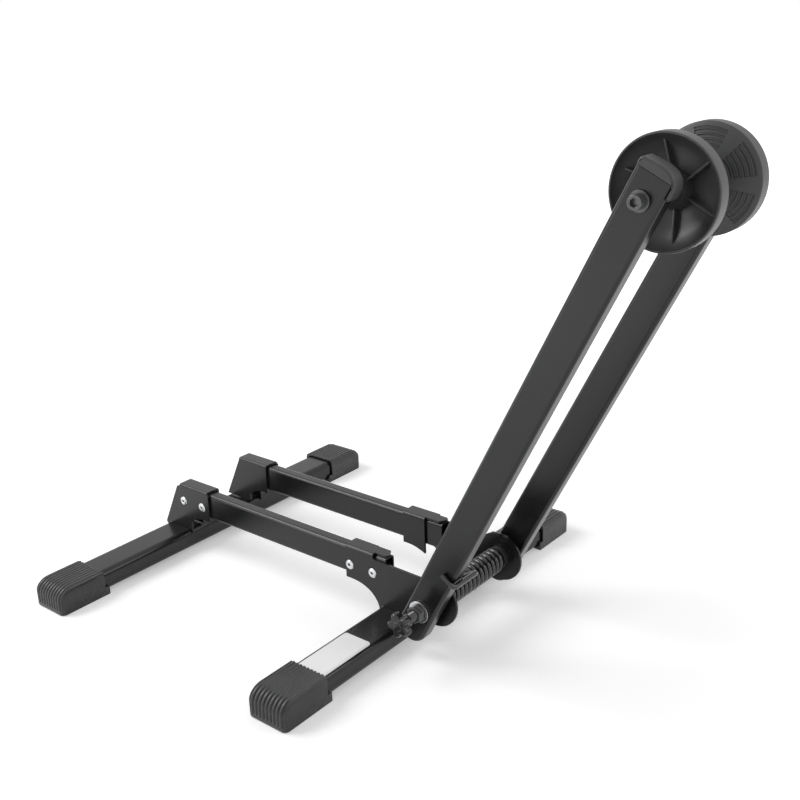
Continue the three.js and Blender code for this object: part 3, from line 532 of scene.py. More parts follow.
class Wiring:
    """A node tree being wired up."""

    def __init__(self, tree: bpy.types.NodeTree) -> None:
        """Takes the tree to wire."""
        self.tree = tree

    def node(self, kind: str, feeds: dict | None = None, **settings: object) -> bpy.types.Node:
        """Adds a node.

        Args:
            kind: the node's type name.
            feeds: for each input, by name or number, a value or the socket that feeds it.
            **settings: properties of the node.

        Returns:
            The node.
        """
        made = self.tree.nodes.new(kind)
        for key, value in settings.items():
            setattr(made, key, value)
        for key, value in (feeds or {}).items():
            if isinstance(value, bpy.types.NodeSocket):
                self.tree.links.new(value, made.inputs[key])
            else:
                made.inputs[key].default_value = value
        return made

    def span(
        self, value: bpy.types.NodeSocket, source: Point, target: tuple[object, object]
    ) -> bpy.types.NodeSocket:
        """Maps a varying value from one range to another, held inside it.

        Args:
            value: what to map.
            source: the range that it comes in.
            target: the range that it leaves in, as numbers or sockets.

        Returns:
            The mapped value.
        """
        feeds = {0: value, 1: source[0], 2: source[1], 3: target[0], 4: target[1]}
        return self.node("ShaderNodeMapRange", feeds, clamp=True).outputs[0]

    def times(self, a: object, b: object) -> bpy.types.NodeSocket:
        """The product of two values."""
        return self.node("ShaderNodeMath", {0: a, 1: b}, operation="MULTIPLY").outputs[0]

    def blend(self, share: object, a: object, b: object) -> bpy.types.NodeSocket:
        """A colour part of the way from a to b."""
        mix = self.node("ShaderNodeMix", {0: share, 6: a, 7: b}, data_type="RGBA")
        return mix.outputs[2]


class Effect(Enum):
    """Node groups that the finishes share. Each is built once, when first used."""

    GRAIN = "surface_grain"
    DUST = "settled_dust"
    RUB = "edge_rub"

    def group(self) -> bpy.types.NodeTree:
        """The node group, built if it isn't there yet."""
        found = bpy.data.node_groups.get(self.value)
        if found is not None:
            return found
        tree = bpy.data.node_groups.new(self.value, "ShaderNodeTree")
        {Effect.GRAIN: _wire_grain, Effect.DUST: _wire_dust, Effect.RUB: _wire_rub}[self](tree)
        return tree


def _socket(tree: bpy.types.NodeTree, name: str, goes: str, kind: str, value: float = 0.0) -> None:
    """Adds a socket to a group's interface.

    Args:
        tree: the group.
        name: the socket's name.
        goes: INPUT or OUTPUT.
        kind: Float, Color or Vector.
        value: default of a float input.
    """
    made = tree.interface.new_socket(name, in_out=goes, socket_type=f"NodeSocket{kind}")
    if goes == "INPUT" and kind == "Float":
        made.default_value = value


def _wire_grain(tree: bpy.types.NodeTree) -> None:
    """Fine relief of a coat or a moulded skin, and the broad mottle of its gloss."""
    _socket(tree, "Fine Scale", "INPUT", "Float", 900.0)
    _socket(tree, "Broad Scale", "INPUT", "Float", 30.0)
    _socket(tree, "Depth", "INPUT", "Float", 0.1)
    _socket(tree, "Mottle", "OUTPUT", "Float")
    _socket(tree, "Normal", "OUTPUT", "Vector")
    wiring = Wiring(tree)
    given = wiring.node("NodeGroupInput").outputs
    spot = wiring.node("ShaderNodeTexCoord").outputs["Object"]
    fine = wiring.node(
        "ShaderNodeTexNoise",
        {"Vector": spot, "Scale": given["Fine Scale"], "Detail": 2.0, "Roughness": 0.55},
    ).outputs[0]
    broad = wiring.node(
        "ShaderNodeTexNoise",
        {"Vector": spot, "Scale": given["Broad Scale"], "Detail": 3.0, "Roughness": 0.5},
    ).outputs[0]
    bump = wiring.node(
        "ShaderNodeBump", {"Strength": given["Depth"], "Distance": 0.0004, "Height": fine}
    )
    feeds = {
        "Mottle": wiring.span(broad, (0.3, 0.7), (0.0, 1.0)),
        "Normal": bump.outputs["Normal"],
    }
    wiring.node("NodeGroupOutput", feeds)


def _wire_dust(tree: bpy.types.NodeTree) -> None:
    """Thin dust on what faces up, in soft patches."""
    _socket(tree, "Amount", "INPUT", "Float", 0.1)
    _socket(tree, "Patch Scale", "INPUT", "Float", 60.0)
    _socket(tree, "Mask", "OUTPUT", "Float")
    wiring = Wiring(tree)
    given = wiring.node("NodeGroupInput").outputs
    facing = wiring.node("ShaderNodeNewGeometry").outputs["Normal"]
    upward = wiring.node("ShaderNodeSeparateXYZ", {0: facing}).outputs["Z"]
    spot = wiring.node("ShaderNodeTexCoord").outputs["Object"]
    patch = wiring.node(
        "ShaderNodeTexNoise",
        {"Vector": spot, "Scale": given["Patch Scale"], "Detail": 4.0, "Roughness": 0.65},
    ).outputs[0]
    level = wiring.span(upward, (0.25, 0.95), (0.0, 1.0))
    cover = wiring.times(level, wiring.span(patch, (0.35, 0.75), (0.15, 1.0)))
    wiring.node("NodeGroupOutput", {"Mask": wiring.times(cover, given["Amount"])})


def _wire_rub(tree: bpy.types.NodeTree) -> None:
    """Where edges are rubbed a little paler."""
    _socket(tree, "Amount", "INPUT", "Float", 0.3)
    _socket(tree, "Break Scale", "INPUT", "Float", 220.0)
    _socket(tree, "Mask", "OUTPUT", "Float")
    wiring = Wiring(tree)
    given = wiring.node("NodeGroupInput").outputs
    crest = wiring.node("ShaderNodeNewGeometry").outputs["Pointiness"]
    spot = wiring.node("ShaderNodeTexCoord").outputs["Object"]
    broken = wiring.node(
        "ShaderNodeTexNoise",
        {"Vector": spot, "Scale": given["Break Scale"], "Detail": 3.0},
    ).outputs[0]
    edge = wiring.span(crest, (0.505, 0.56), (0.0, 1.0))
    patchy = wiring.times(edge, wiring.span(broken, (0.35, 0.6), (0.3, 1.0)))
    wiring.node("NodeGroupOutput", {"Mask": wiring.times(patchy, given["Amount"])})


# ------------------------------------------------------------------ finishes

Rgb = tuple[float, float, float]


@dataclass(frozen=True)
class Finish:
    """What a piece's surface is finished in.

    The two shades are where the mottle is weakest and strongest, and the two glosses are the
    roughness there.
    """

    slot: str
    name: str
    shade: Rgb
    mottled: Rgb
    gloss: Point
    metallic: float = 0.0
    specular: float = 0.5
    fine_scale: float = 900.0
    broad_scale: float = 30.0
    depth: float = 0.1
    dust: float = 0.06
    rub: float = 0.15
    rubbed: Rgb = (0.12, 0.12, 0.125)
    clear_coat: float = 0.0

    def material(self) -> bpy.types.Material:
        """The material, built if it isn't there yet."""
        found = bpy.data.materials.get(self.name)
        if found is not None:
            return found
        made = bpy.data.materials.new(self.name)
        made.use_nodes = True
        made.node_tree.nodes.clear()
        self._wire(Wiring(made.node_tree))
        return made

    def _effect(self, wiring: Wiring, effect: Effect, feeds: dict) -> bpy.types.Node:
        """Places one of the shared groups with this finish's own values."""
        return wiring.node("ShaderNodeGroup", feeds, node_tree=effect.group())

    def _wire(self, wiring: Wiring) -> None:
        """Wires the shader."""
        grain = self._effect(
            wiring,
            Effect.GRAIN,
            {
                "Fine Scale": self.fine_scale,
                "Broad Scale": self.broad_scale,
                "Depth": self.depth,
            },
        )
        dust = self._effect(wiring, Effect.DUST, {"Amount": self.dust, "Patch Scale": 55.0})
        rub = self._effect(wiring, Effect.RUB, {"Amount": self.rub, "Break Scale": 240.0})
        base = wiring.blend(grain.outputs["Mottle"], (*self.shade, 1), (*self.mottled, 1))
        worn = wiring.blend(rub.outputs["Mask"], base, (*self.rubbed, 1))
        dusted = wiring.blend(dust.outputs["Mask"], worn, (0.32, 0.31, 0.29, 1))
        low, high = self.gloss
        rough = wiring.span(grain.outputs["Mottle"], (0.0, 1.0), (low, high))
        dull = wiring.span(dust.outputs["Mask"], (0.0, 1.0), (rough, 0.85))
        shader = wiring.node(
            "ShaderNodeBsdfPrincipled",
            {
                "Base Color": dusted,
                "Roughness": dull,
                "Metallic": self.metallic,
                "Specular IOR Level": self.specular,
                "Coat Weight": self.clear_coat,
                "Coat Roughness": 0.12,
                "Normal": grain.outputs["Normal"],
            },
        )
        wiring.node("ShaderNodeOutputMaterial", {"Surface": shader.outputs[0]})


@dataclass(frozen=True)
class Finishes:
    """Every finish on the rack."""

    powder: Finish = Finish(
        "powder_black",
        "satin_powder_coat",
        (0.0070, 0.0072, 0.0078),
        (0.0095, 0.0097, 0.0104),
        (0.21, 0.27),
        specular=0.4,
        fine_scale=750.0,
        depth=0.04,
        dust=0.015,
        rub=0.0,
    )
    cap: Finish = Finish(
        "cap_plastic",
        "moulded_foot_cap",
        (0.0095, 0.0097, 0.0102),
        (0.0135, 0.0137, 0.0142),
        (0.25, 0.34),
        fine_scale=1100.0,
        depth=0.12,
        dust=0.03,
        rub=0.3,
    )
    roller: Finish = Finish(
        "roller_plastic",
        "moulded_roller",
        (0.034, 0.0343, 0.0355),
        (0.044, 0.0443, 0.0455),
        (0.36, 0.46),
        fine_scale=1000.0,
        depth=0.10,
        dust=0.02,
        rub=0.22,
    )
    plug: Finish = Finish(
        "plug_plastic",
        "moulded_arm_plug",
        (0.024, 0.0243, 0.025),
        (0.031, 0.0313, 0.032),
        (0.36, 0.46),
        depth=0.08,
        rub=0.1,
    )
    knob: Finish = Finish(
        "knob_plastic",
        "moulded_hand_knob",
        (0.005, 0.0052, 0.0056),
        (0.008, 0.0082, 0.0086),
        (0.16, 0.24),
        depth=0.06,
        rub=0.3,
    )
    bush: Finish = Finish(
        "bush_plastic",
        "moulded_bush",
        (0.010, 0.0102, 0.011),
        (0.016, 0.0162, 0.017),
        (0.40, 0.52),
    )
    spring: Finish = Finish(
        "spring_steel",
        "blacked_spring_wire",
        (0.006, 0.0062, 0.0068),
        (0.011, 0.0112, 0.0118),
        (0.12, 0.20),
        fine_scale=1400.0,
        broad_scale=90.0,
        depth=0.04,
        dust=0.01,
        rub=0.08,
        clear_coat=0.3,
    )
    blacked: Finish = Finish(
        "black_steel",
        "blacked_steel",
        (0.070, 0.0705, 0.072),
        (0.095, 0.0955, 0.097),
        (0.30, 0.38),
        metallic=0.6,
        broad_scale=120.0,
        depth=0.05,
        dust=0.01,
        rub=0.25,
        rubbed=(0.28, 0.28, 0.285),
    )
    zinc: Finish = Finish(
        "zinc_steel",
        "bright_zinc",
        (0.56, 0.57, 0.58),
        (0.72, 0.73, 0.74),
        (0.22, 0.36),
        metallic=0.9,
        broad_scale=260.0,
        depth=0.05,
        rub=0.2,
        rubbed=(0.85, 0.85, 0.86),
    )
    chrome: Finish = Finish(
        "chrome",
        "bright_chrome",
        (0.62, 0.63, 0.64),
        (0.70, 0.71, 0.72),
        (0.06, 0.12),
        metallic=1.0,
        broad_scale=150.0,
        depth=0.02,
        rub=0.0,
    )
    paper: Finish = Finish(
        "powder_black",
        "blank_paper_sticker",
        (0.88, 0.88, 0.88),
        (0.91, 0.91, 0.91),
        (0.38, 0.46),
        fine_scale=1600.0,
        depth=0.03,
        dust=0.02,
        rub=0.0,
    )


FINISHES = Finishes()


# ------------------------------------------------------------------ legs and foot caps


@dataclass
class CrossLeg:
    """One of the two tubes that lie across the rack."""

    end: End
    width: float = 35.0
    height: float = 20.0
    corner: float = 6.0
    bottom: float = 2.5
    half_length: float = 187.1
    wall: float = 1.5

    def section(self, grow: float = 0.0) -> Outline:
        """The tube's outer section, drawn in x and z, grown all round."""
        size = (self.width + 2 * grow, self.height + 2 * grow)
        middle = (0.0, self.bottom + self.height / 2)
        return Outline.rounded(size, self.corner + grow, middle)

    def build(self) -> None:
        """Makes the tube."""
        draft = Draft()
        loops = [self.section(), self.section(-self.wall)]
        draft.prism(loops, Plane.XZ, -self.half_length, self.half_length)
        draft.ease(0.3).shift(x=self.end.value)
        name = f"{self.end.word}_leg"
        draft.publish(f"{name}_tube", FINISHES.powder, Body.BASE, [name])


@dataclass
class Sticker:
    """A plain white sticker on the front leg, eased over the tube's corner."""

    leg: CrossLeg
    left: float = -12.2
    right: float = 15.0
    start: float = -156.5
    end: float = -98.5
    corner: float = 2.5
    gauge: float = 0.14

    def _bend(self, y: float, across: float) -> tuple[Vector, Vector]:
        """Lays a flat point on the tube: over its top, then round its corner."""
        flat = self.leg.width / 2 - self.leg.corner
        top = self.leg.bottom + self.leg.height
        side = math.copysign(1.0, across)
        angle = max(abs(across) - flat, 0.0) / self.leg.corner
        x = min(abs(across), flat) + self.leg.corner * math.sin(angle)
        z = top - self.leg.corner + self.leg.corner * math.cos(angle)
        normal = Vector((side * math.sin(angle), 0, math.cos(angle)))
        return Vector((side * x, y, z)) + normal * (0.02 + self.gauge / 2), normal

    def build(self) -> None:
        """Makes the sticker."""
        size = (self.end - self.start, self.right - self.left)
        centre = ((self.start + self.end) / 2, (self.left + self.right) / 2)
        pattern = Outline.rounded(size, self.corner, centre)
        flat = self.leg.width / 2 - self.leg.corner
        creases = [flat + i * 0.7 for i in range(5)] + [-flat]
        draft = Draft().sheet([pattern], self._bend, creases, self.gauge)
        draft.publish("front_leg_sticker", FINISHES.paper, Body.BASE)


@dataclass
class FootCap:
    """A moulded cap on a leg's end: ridged over the top and down the front.

    It is drawn with its outer end at y = 0 and its open end at y = -length.
    """

    end: End
    side: Side
    width: float = 39.6
    length: float = 48.0
    height: float = 24.8
    reach: float = 204.4
    tongue: Point = (4.5, 8.0)
    brow: Point = (14.0, 11.0)
    shoulder_top: Point = (2.6, 6.0)
    shoulder_front: Point = (4.0, 4.0)
    grooves: int = 10
    pitch: float = 3.8
    groove_half: float = 1.25
    groove_depth: float = 1.3
    plain_band: float = 4.0
    mouth_relief: float = 1.1
    mouth_depth: float = 6.0

    def _stations(self) -> list[tuple[Vector, Vector, float, float]]:
        """Rows down the ridged side.

        Returns:
            For each row its point and normal in (y, z), how far it is round the brow, and
            how deep the grooves are there, from 0 to 1.
        """
        run, drop = self.brow
        up, out = Vector((0, 1)), Vector((1, 0))
        straight = (-self.length, -self.length + 3, -36.0, -25.0, -run - 1.5)
        rows = [(Vector((y, self.height)), up, 0.0, 1.0) for y in straight]
        for i in range(17):
            angle = math.pi / 2 * (1 - i / 16)
            out_by, up_by = math.cos(angle), math.sin(angle)
            spot = Vector((-run + run * out_by, self.height - drop + drop * up_by))
            normal = Vector((out_by / run, up_by / drop)).normalized()
            rows.append((spot, normal, i / 16, 1.0))
        band = self.plain_band
        fades = ((11.0, 1.0), (8.0, 1.0), (band + 1.6, 1.0), (band + 0.9, 0.85), (band + 0.4, 0.4))
        fades += ((band, 0.08), (band - 0.4, 0.0), (1.2, 0.0))
        rows += [(Vector((0, z)), out, 1.0, fade) for z, fade in fades]
        rows.append((Vector((-0.35, 0.35)), out, 1.0, 0.0))
        rows.append((Vector((-1.2, 0.0)), out, 1.0, 0.0))
        return rows

    def _columns(self) -> list[tuple[float, float]]:
        """Columns across the cap, as (share of the shoulder's width, or x, x where flat)."""
        shoulder = [1 - math.cos(math.radians(a)) for a in (0, 12, 24, 36, 46)]
        flat: list[float] = []
        for i in range(self.grooves):
            centre = (i - (self.grooves - 1) / 2) * self.pitch
            flat += [centre + self.groove_half * s for s in (-1, -0.72, -0.4, 0, 0.4, 0.72, 1)]
            flat.append(centre + self.pitch / 2)
        flat.pop()
        left = [(share, -1.0) for share in shoulder]
        right = [(share, 1.0) for share in reversed(shoulder)]
        return left + [(x, 0.0) for x in flat] + right

    def _depth(self, x: float, shoulder: Point, fade: float) -> float:
        """How far the surface lies under the cap's crest line at x."""
        width, drop = shoulder
        inset = self.width / 2 - abs(x)
        depth = 0.0
        if inset < width:
            depth = drop * (1 - math.sqrt(max(0.0, 1 - (1 - inset / width) ** 2)))
        nearest = round(x / self.pitch + (self.grooves - 1) / 2)
        nearest = min(max(nearest, 0), self.grooves - 1)
        centre = (nearest - (self.grooves - 1) / 2) * self.pitch
        near = max(0.0, 1 - abs(x - centre) / self.groove_half)
        return depth + self.groove_depth * fade * near * near * (3 - 2 * near)

    def _shell(self) -> Draft:
        """The cap's closed outer form."""
        draft = Draft()
        half = self.width / 2
        grid = []
        for spot, normal, progress, fade in self._stations():
            top, front = self.shoulder_top, self.shoulder_front
            shoulder = tuple(a + (b - a) * progress for a, b in zip(top, front))
            row = []
            for value, edge in self._columns():
                x = edge * (half - value * shoulder[0]) if edge else value
                at = spot - normal * self._depth(x, shoulder, fade)
                row.append(draft.bm.verts.new((x, at.x, at.y)))
            grid.append(row)
        for low, high in zip(grid, grid[1:]):
            for i in range(len(low) - 1):
                draft.bm.faces.new((low[i], low[i + 1], high[i + 1], high[i]))
        back, lip = -self.length - self.tongue[0], self.tongue[1]
        corners = {
            sign: [
                draft.bm.verts.new((sign * half, back, 0)),
                draft.bm.verts.new((sign * half, back, lip)),
                draft.bm.verts.new((sign * half, -self.length, lip)),
            ]
            for sign in (-1, 1)
        }
        left, right = corners[-1], corners[1]
        draft.bm.faces.new([row[0] for row in grid] + left)
        draft.bm.faces.new([row[-1] for row in grid] + right)
        draft.bm.faces.new(grid[-1] + [right[0], left[0]])
        draft.bm.faces.new([left[2], *grid[0], right[2]])
        for a, b in ((0, 1), (1, 2)):
            draft.bm.faces.new((left[a], left[b], right[b], right[a]))
        return draft

    def build(self) -> None:
        """Makes the cap."""
        shell = self._shell()
        shell.ease(0.5, 2, 50.0, lambda at: at.z < self.tongue[1] + 0.1 or abs(at.x) > 19.7)
        leg = CrossLeg(self.end)
        inner = -self.length + self.mouth_depth
        mouth = Draft().prism([leg.section(self.mouth_relief)], Plane.XZ, -80, inner)
        shell.carve(mouth)
        shell.shift(y=self.reach).move(self.side.turn).shift(x=self.end.value)
        name = f"{self.end.word}_foot_cap_{self.side.word}"
        shell.publish(f"{name}_moulding", FINISHES.cap, Body.BASE, [name], 38.0)


# ------------------------------------------------------------------ rails and brackets


@dataclass
class Rail:
    """A rectangular tube from the rear bracket to the front one."""

    side: Side
    size: Point = (12.0, 26.0)
    corner: float = 3.0
    centre: Point = (40.0, 54.0)
    start: float = -273.0
    end: float = -12.0
    wall: float = 1.5

    def build(self) -> None:
        """Makes the rail."""
        loops = []
        for inset in (0.0, self.wall):
            size = (self.size[0] - 2 * inset, self.size[1] - 2 * inset)
            loops.append(Outline.rounded(size, self.corner - inset, self.centre, 6))
        draft = Draft().prism(loops, Plane.YZ, self.start, self.end).ease(0.25)
        draft.to_side(self.side)
        name = f"{self.side.word}_rail"
        draft.publish(f"{name}_tube", FINISHES.powder, Body.BASE, [name])


@dataclass
class Bracket:
    """Sheet metal folded over a rail: outer cheek, cover and inner cheek.

    Its blank is drawn flat. Across the folds, s is the height z up the outer cheek, runs on
    over the cover, and down the inner cheek again.
    """

    side: Side
    gauge: float = 2.0
    outer_y: float = 48.3
    inner_y: float = 31.7
    top: float = 69.3
    fold: float = 2.3
    leg: CrossLeg = field(default_factory=lambda: CrossLeg(End.FRONT))
    end: End = End.FRONT

    @property
    def _mid_radius(self) -> float:
        """Radius of the folds at the middle of the sheet."""
        return self.fold - self.gauge / 2

    @property
    def _fold_run(self) -> float:
        """Length of a fold along the middle of the sheet."""
        return self._mid_radius * math.pi / 2

    @property
    def _rise(self) -> float:
        """Height at which the cheeks start to fold."""
        return self.top - self.fold

    def over(self, y: float) -> float:
        """The blank's s for a place y on the cover."""
        return self._rise + self._fold_run + (self.outer_y - self.fold - y)

    def down(self, z: float) -> float:
        """The blank's s for a height z on the inner cheek."""
        return self.over(self.inner_y + self.fold) + self._fold_run + (self._rise - z)

    def creases(self) -> list[float]:
        """Where the blank needs edges to fold at."""
        starts = (self._rise, self.over(self.inner_y + self.fold))
        return [start + self._fold_run * i / 6 for start in starts for i in range(7)]

    def bend(self, x: float, s: float) -> tuple[Vector, Vector]:
        """The middle of the sheet and its normal, for a point of the blank."""
        radius, rise = self._mid_radius, self._rise
        outer, inner = self.outer_y - self.fold, self.inner_y + self.fold
        second = self.over(inner)
        if s <= rise:
            return Vector((x, outer + radius, s)), Vector((0, 1, 0))
        if s < rise + self._fold_run:
            angle = (s - rise) / radius
            normal = Vector((0, math.cos(angle), math.sin(angle)))
            return Vector((x, outer, rise)) + normal * radius, normal
        if s <= second:
            along = outer - (s - rise - self._fold_run)
            return Vector((x, along, rise + radius)), Vector((0, 0, 1))
        if s < second + self._fold_run:
            angle = (s - second) / radius
            normal = Vector((0, -math.sin(angle), math.cos(angle)))
            return Vector((x, inner, rise)) + normal * radius, normal
        return Vector((x, inner - radius, rise - (s - second - self._fold_run))), Vector((0, -1, 0))

    def _round_leg(self, path: Outline, low: float) -> None:
        """Runs the cheek's lower edge over the leg, from low on one side to low on the other."""
        radius = self.leg.corner + FIT
        x = self.leg.width / 2 - self.leg.corner
        z = self.leg.bottom + self.leg.height - self.leg.corner
        start = math.degrees(math.asin((low - z) / radius))
        path.arc((-x, z), radius, 180 - start, 90, 6)
        path.arc((x, z), radius, 90, start, 6)

    def blank(self) -> list[Outline]:
        """The flat blank and its holes."""
        raise NotImplementedError

    def build(self) -> None:
        """Makes the bracket."""
        draft = Draft().sheet(self.blank(), self.bend, self.creases(), self.gauge)
        draft.ease(0.35, 2, 45.0).to_side(self.side).shift(x=self.end.value)
        name = f"{self.end.word}_bracket_{self.side.word}"
        draft.publish(f"{name}_folding", FINISHES.powder, Body.BASE, [name])


@dataclass
class RearBracket(Bracket):
    """The bracket over the rear leg."""

    end: End = End.REAR

    def blank(self) -> list[Outline]:
        """The flat blank."""
        path = Outline(1.4, 66.2).to((-20.7, 22.5)).curve((-20.7, 19.2), (-17.6, 19.2), 6)
        self._round_leg(path, 19.2)
        path.to((18.3, 19.2), (18.3, 30.5)).curve((24.0, 39.0), (46.3, 39.0))
        path.to((46.3, 66.0), (44.5, 67.4), (44.5, self.down(39.0)))
        path.curve((24.0, self.down(39.0)), (18.3, self.down(30.5)))
        path.to((18.3, self.down(24.0)), (-16.0, self.down(24.0)), (5.0, self.down(66.7)))
        return [path.to((5.0, 66.6))]


@dataclass
class FrontBracket(Bracket):
    """The bracket over the front leg, whose outer cheek runs out to the axle's ear."""

    end: End = End.FRONT
    ear: Point = (41.8, 46.6)
    ear_radius: float = 22.5
    shoulder: float = 64.2

    def blank(self) -> list[Outline]:
        """The flat blank, with the ear's bore."""
        relief = self.over(self.outer_y - 3.6)
        seam = self.over(self.inner_y + self.fold)
        path = Outline(-55.0, 38.0).to((-50.0, 38.0)).curve((-26.0, 38.0), (-18.6, 21.5), 14)
        path.curve((-18.6, 18.6), (-17.6, 18.6), 3)
        self._round_leg(path, 18.6)
        path.to((19.6, 21.5)).arc(self.ear, self.ear_radius, -99, 131.4, 40)
        path.to((-20.0, self.shoulder)).curve((-24.0, self.shoulder), (-24.0, 66.4), 5)
        path.to((-24.0, relief), (-15.0, relief)).curve((-11.0, relief), (-11.0, relief + 4), 6)
        path.to((-15.0, seam), (-30.0, seam), (-30.0, self.down(33.0)))
        path.curve((-40.0, self.down(38.0)), (-50.0, self.down(38.0)), 8)
        return [path.to((-55.0, self.down(38.0))), Outline.ring(5.6, 40, self.ear)]


@dataclass
class Rivet:
    """A blind rivet with a domed head and the pit that its pin left."""

    end: End
    side: Side
    number: int
    spot: Point
    seat: float = 48.3

    def build(self) -> None:
        """Makes the rivet."""
        profile = [
            (0, -5.9), (2.0, -5.3), (2.5, -4.6), (2.0, -3.8), (2.0, 0.05), (4.4, 0.05),
            (4.4, 0.3), (4.15, 0.65), (3.5, 1.0), (2.6, 1.22), (1.8, 1.3), (1.5, 1.2),
            (1.35, 0.9), (1.3, -0.3), (0, -0.5),
        ]  # fmt: skip
        draft = Draft().turned(profile, 36).shift(y=self.seat)
        x, z = self.spot
        draft.to_side(self.side).shift(x=self.end.value + x, z=z)
        name = f"{self.end.word}_rivet_{self.side.word}_{self.number}"
        draft.publish(f"{name}_head", FINISHES.zinc, Body.BASE, [name], 50.0)


# ------------------------------------------------------------------ arms


@dataclass(frozen=True)
class Pivot:
    """Where the arms turn and how they lean at rest."""

    x: float = 41.8
    z: float = 46.6
    lean: float = 27.2

    def from_arm(self) -> Matrix:
        """From the arms' own upright frame to the rack's."""
        turn = Matrix.Rotation(math.radians(self.lean), 4, "Y")
        return Matrix.Translation((self.x, 0, self.z)) @ turn


@dataclass
class Arm:
    """A rectangular tube with a rounded foot, and the plug in its top."""

    side: Side
    pivot: Pivot
    width: float = 27.0
    thick: float = 14.0
    corner: float = 3.0
    outer_y: float = 68.4
    top: float = 406.9
    foot: float = 20.2
    plug_rise: float = 7.0
    plug_heel: float = 5.6
    plug_lip: float = 10.0
    lip_thick: float = 2.0

    def _tube(self) -> Draft:
        """The tube, about its own middle plane, with its long edges rolled."""
        rolls = [math.radians(15 * i) for i in range(7)]
        near = [(math.cos(a), self.corner * (1 - math.sin(a))) for a in rolls]
        levels = [(-1, share, inset) for share, inset in near]
        levels += [(1, share, inset) for share, inset in reversed(near)]
        rings = []
        for side, share, inset in levels:
            half = self.width / 2 - inset
            y = side * (self.thick / 2 - self.corner * (1 - share))
            outline = Outline(half, self.top).to((-half, self.top))
            outline.arc((0, -self.foot), half, 180, 360, 36)
            rings.append([Vector((x, y, z)) for x, z in outline.points])
        return Draft().skin(rings)

    def _plug(self) -> Draft:
        """The plug: a domed cap with a lip hooked over the arm's front edge, and its stub."""
        half, seat = self.width / 2, self.top + FIT
        edge = half + FIT + self.lip_thick
        crest = self.top + self.plug_rise
        outline = Outline(-half, seat).to((half + FIT, seat))
        outline.to((half + FIT, self.top - self.plug_lip))
        outline.curve((edge, self.top - self.plug_lip), (edge, self.top - self.plug_lip + 2.4), 6)
        outline.curve((edge + 0.2, crest + 0.4), (0.0, crest), 18)
        outline.to((-half + 2.4, self.top + self.plug_heel + 0.4))
        outline.curve((-half, self.top + self.plug_heel), (-half, seat + 1.5), 8)
        draft = Draft().prism([outline], Plane.XZ, -self.thick / 2 + 0.1, self.thick / 2 - 0.1)

        def shown(at: Vector) -> bool:
            """Whether an edge lies outside the tube."""
            return at.z > seat + 0.1 or at.x > half + FIT + 0.1

        draft.ease(1.3, 4, 50.0, shown, held=False)
        stub = Outline.rounded((self.width - 3.6, self.thick - 3.6), 1.2)
        return draft.add(Draft().prism([stub], Plane.XY, self.top - 14, seat + 1))

    def build(self) -> None:
        """Makes the tube and its plug."""
        middle = self.side.value * (self.outer_y - self.thick / 2)
        name = f"{self.side.word}_arm"
        tube = self._tube().shift(y=middle).move(self.pivot.from_arm())
        tube.publish(f"{name}_tube", FINISHES.powder, Body.ARMS, [name])
        plug = self._plug().shift(y=middle).move(self.pivot.from_arm())
        plug.publish(f"{name}_plug_moulding", FINISHES.plug, Body.ARMS, [f"{name}_plug"])


# ------------------------------------------------------------------ rollers


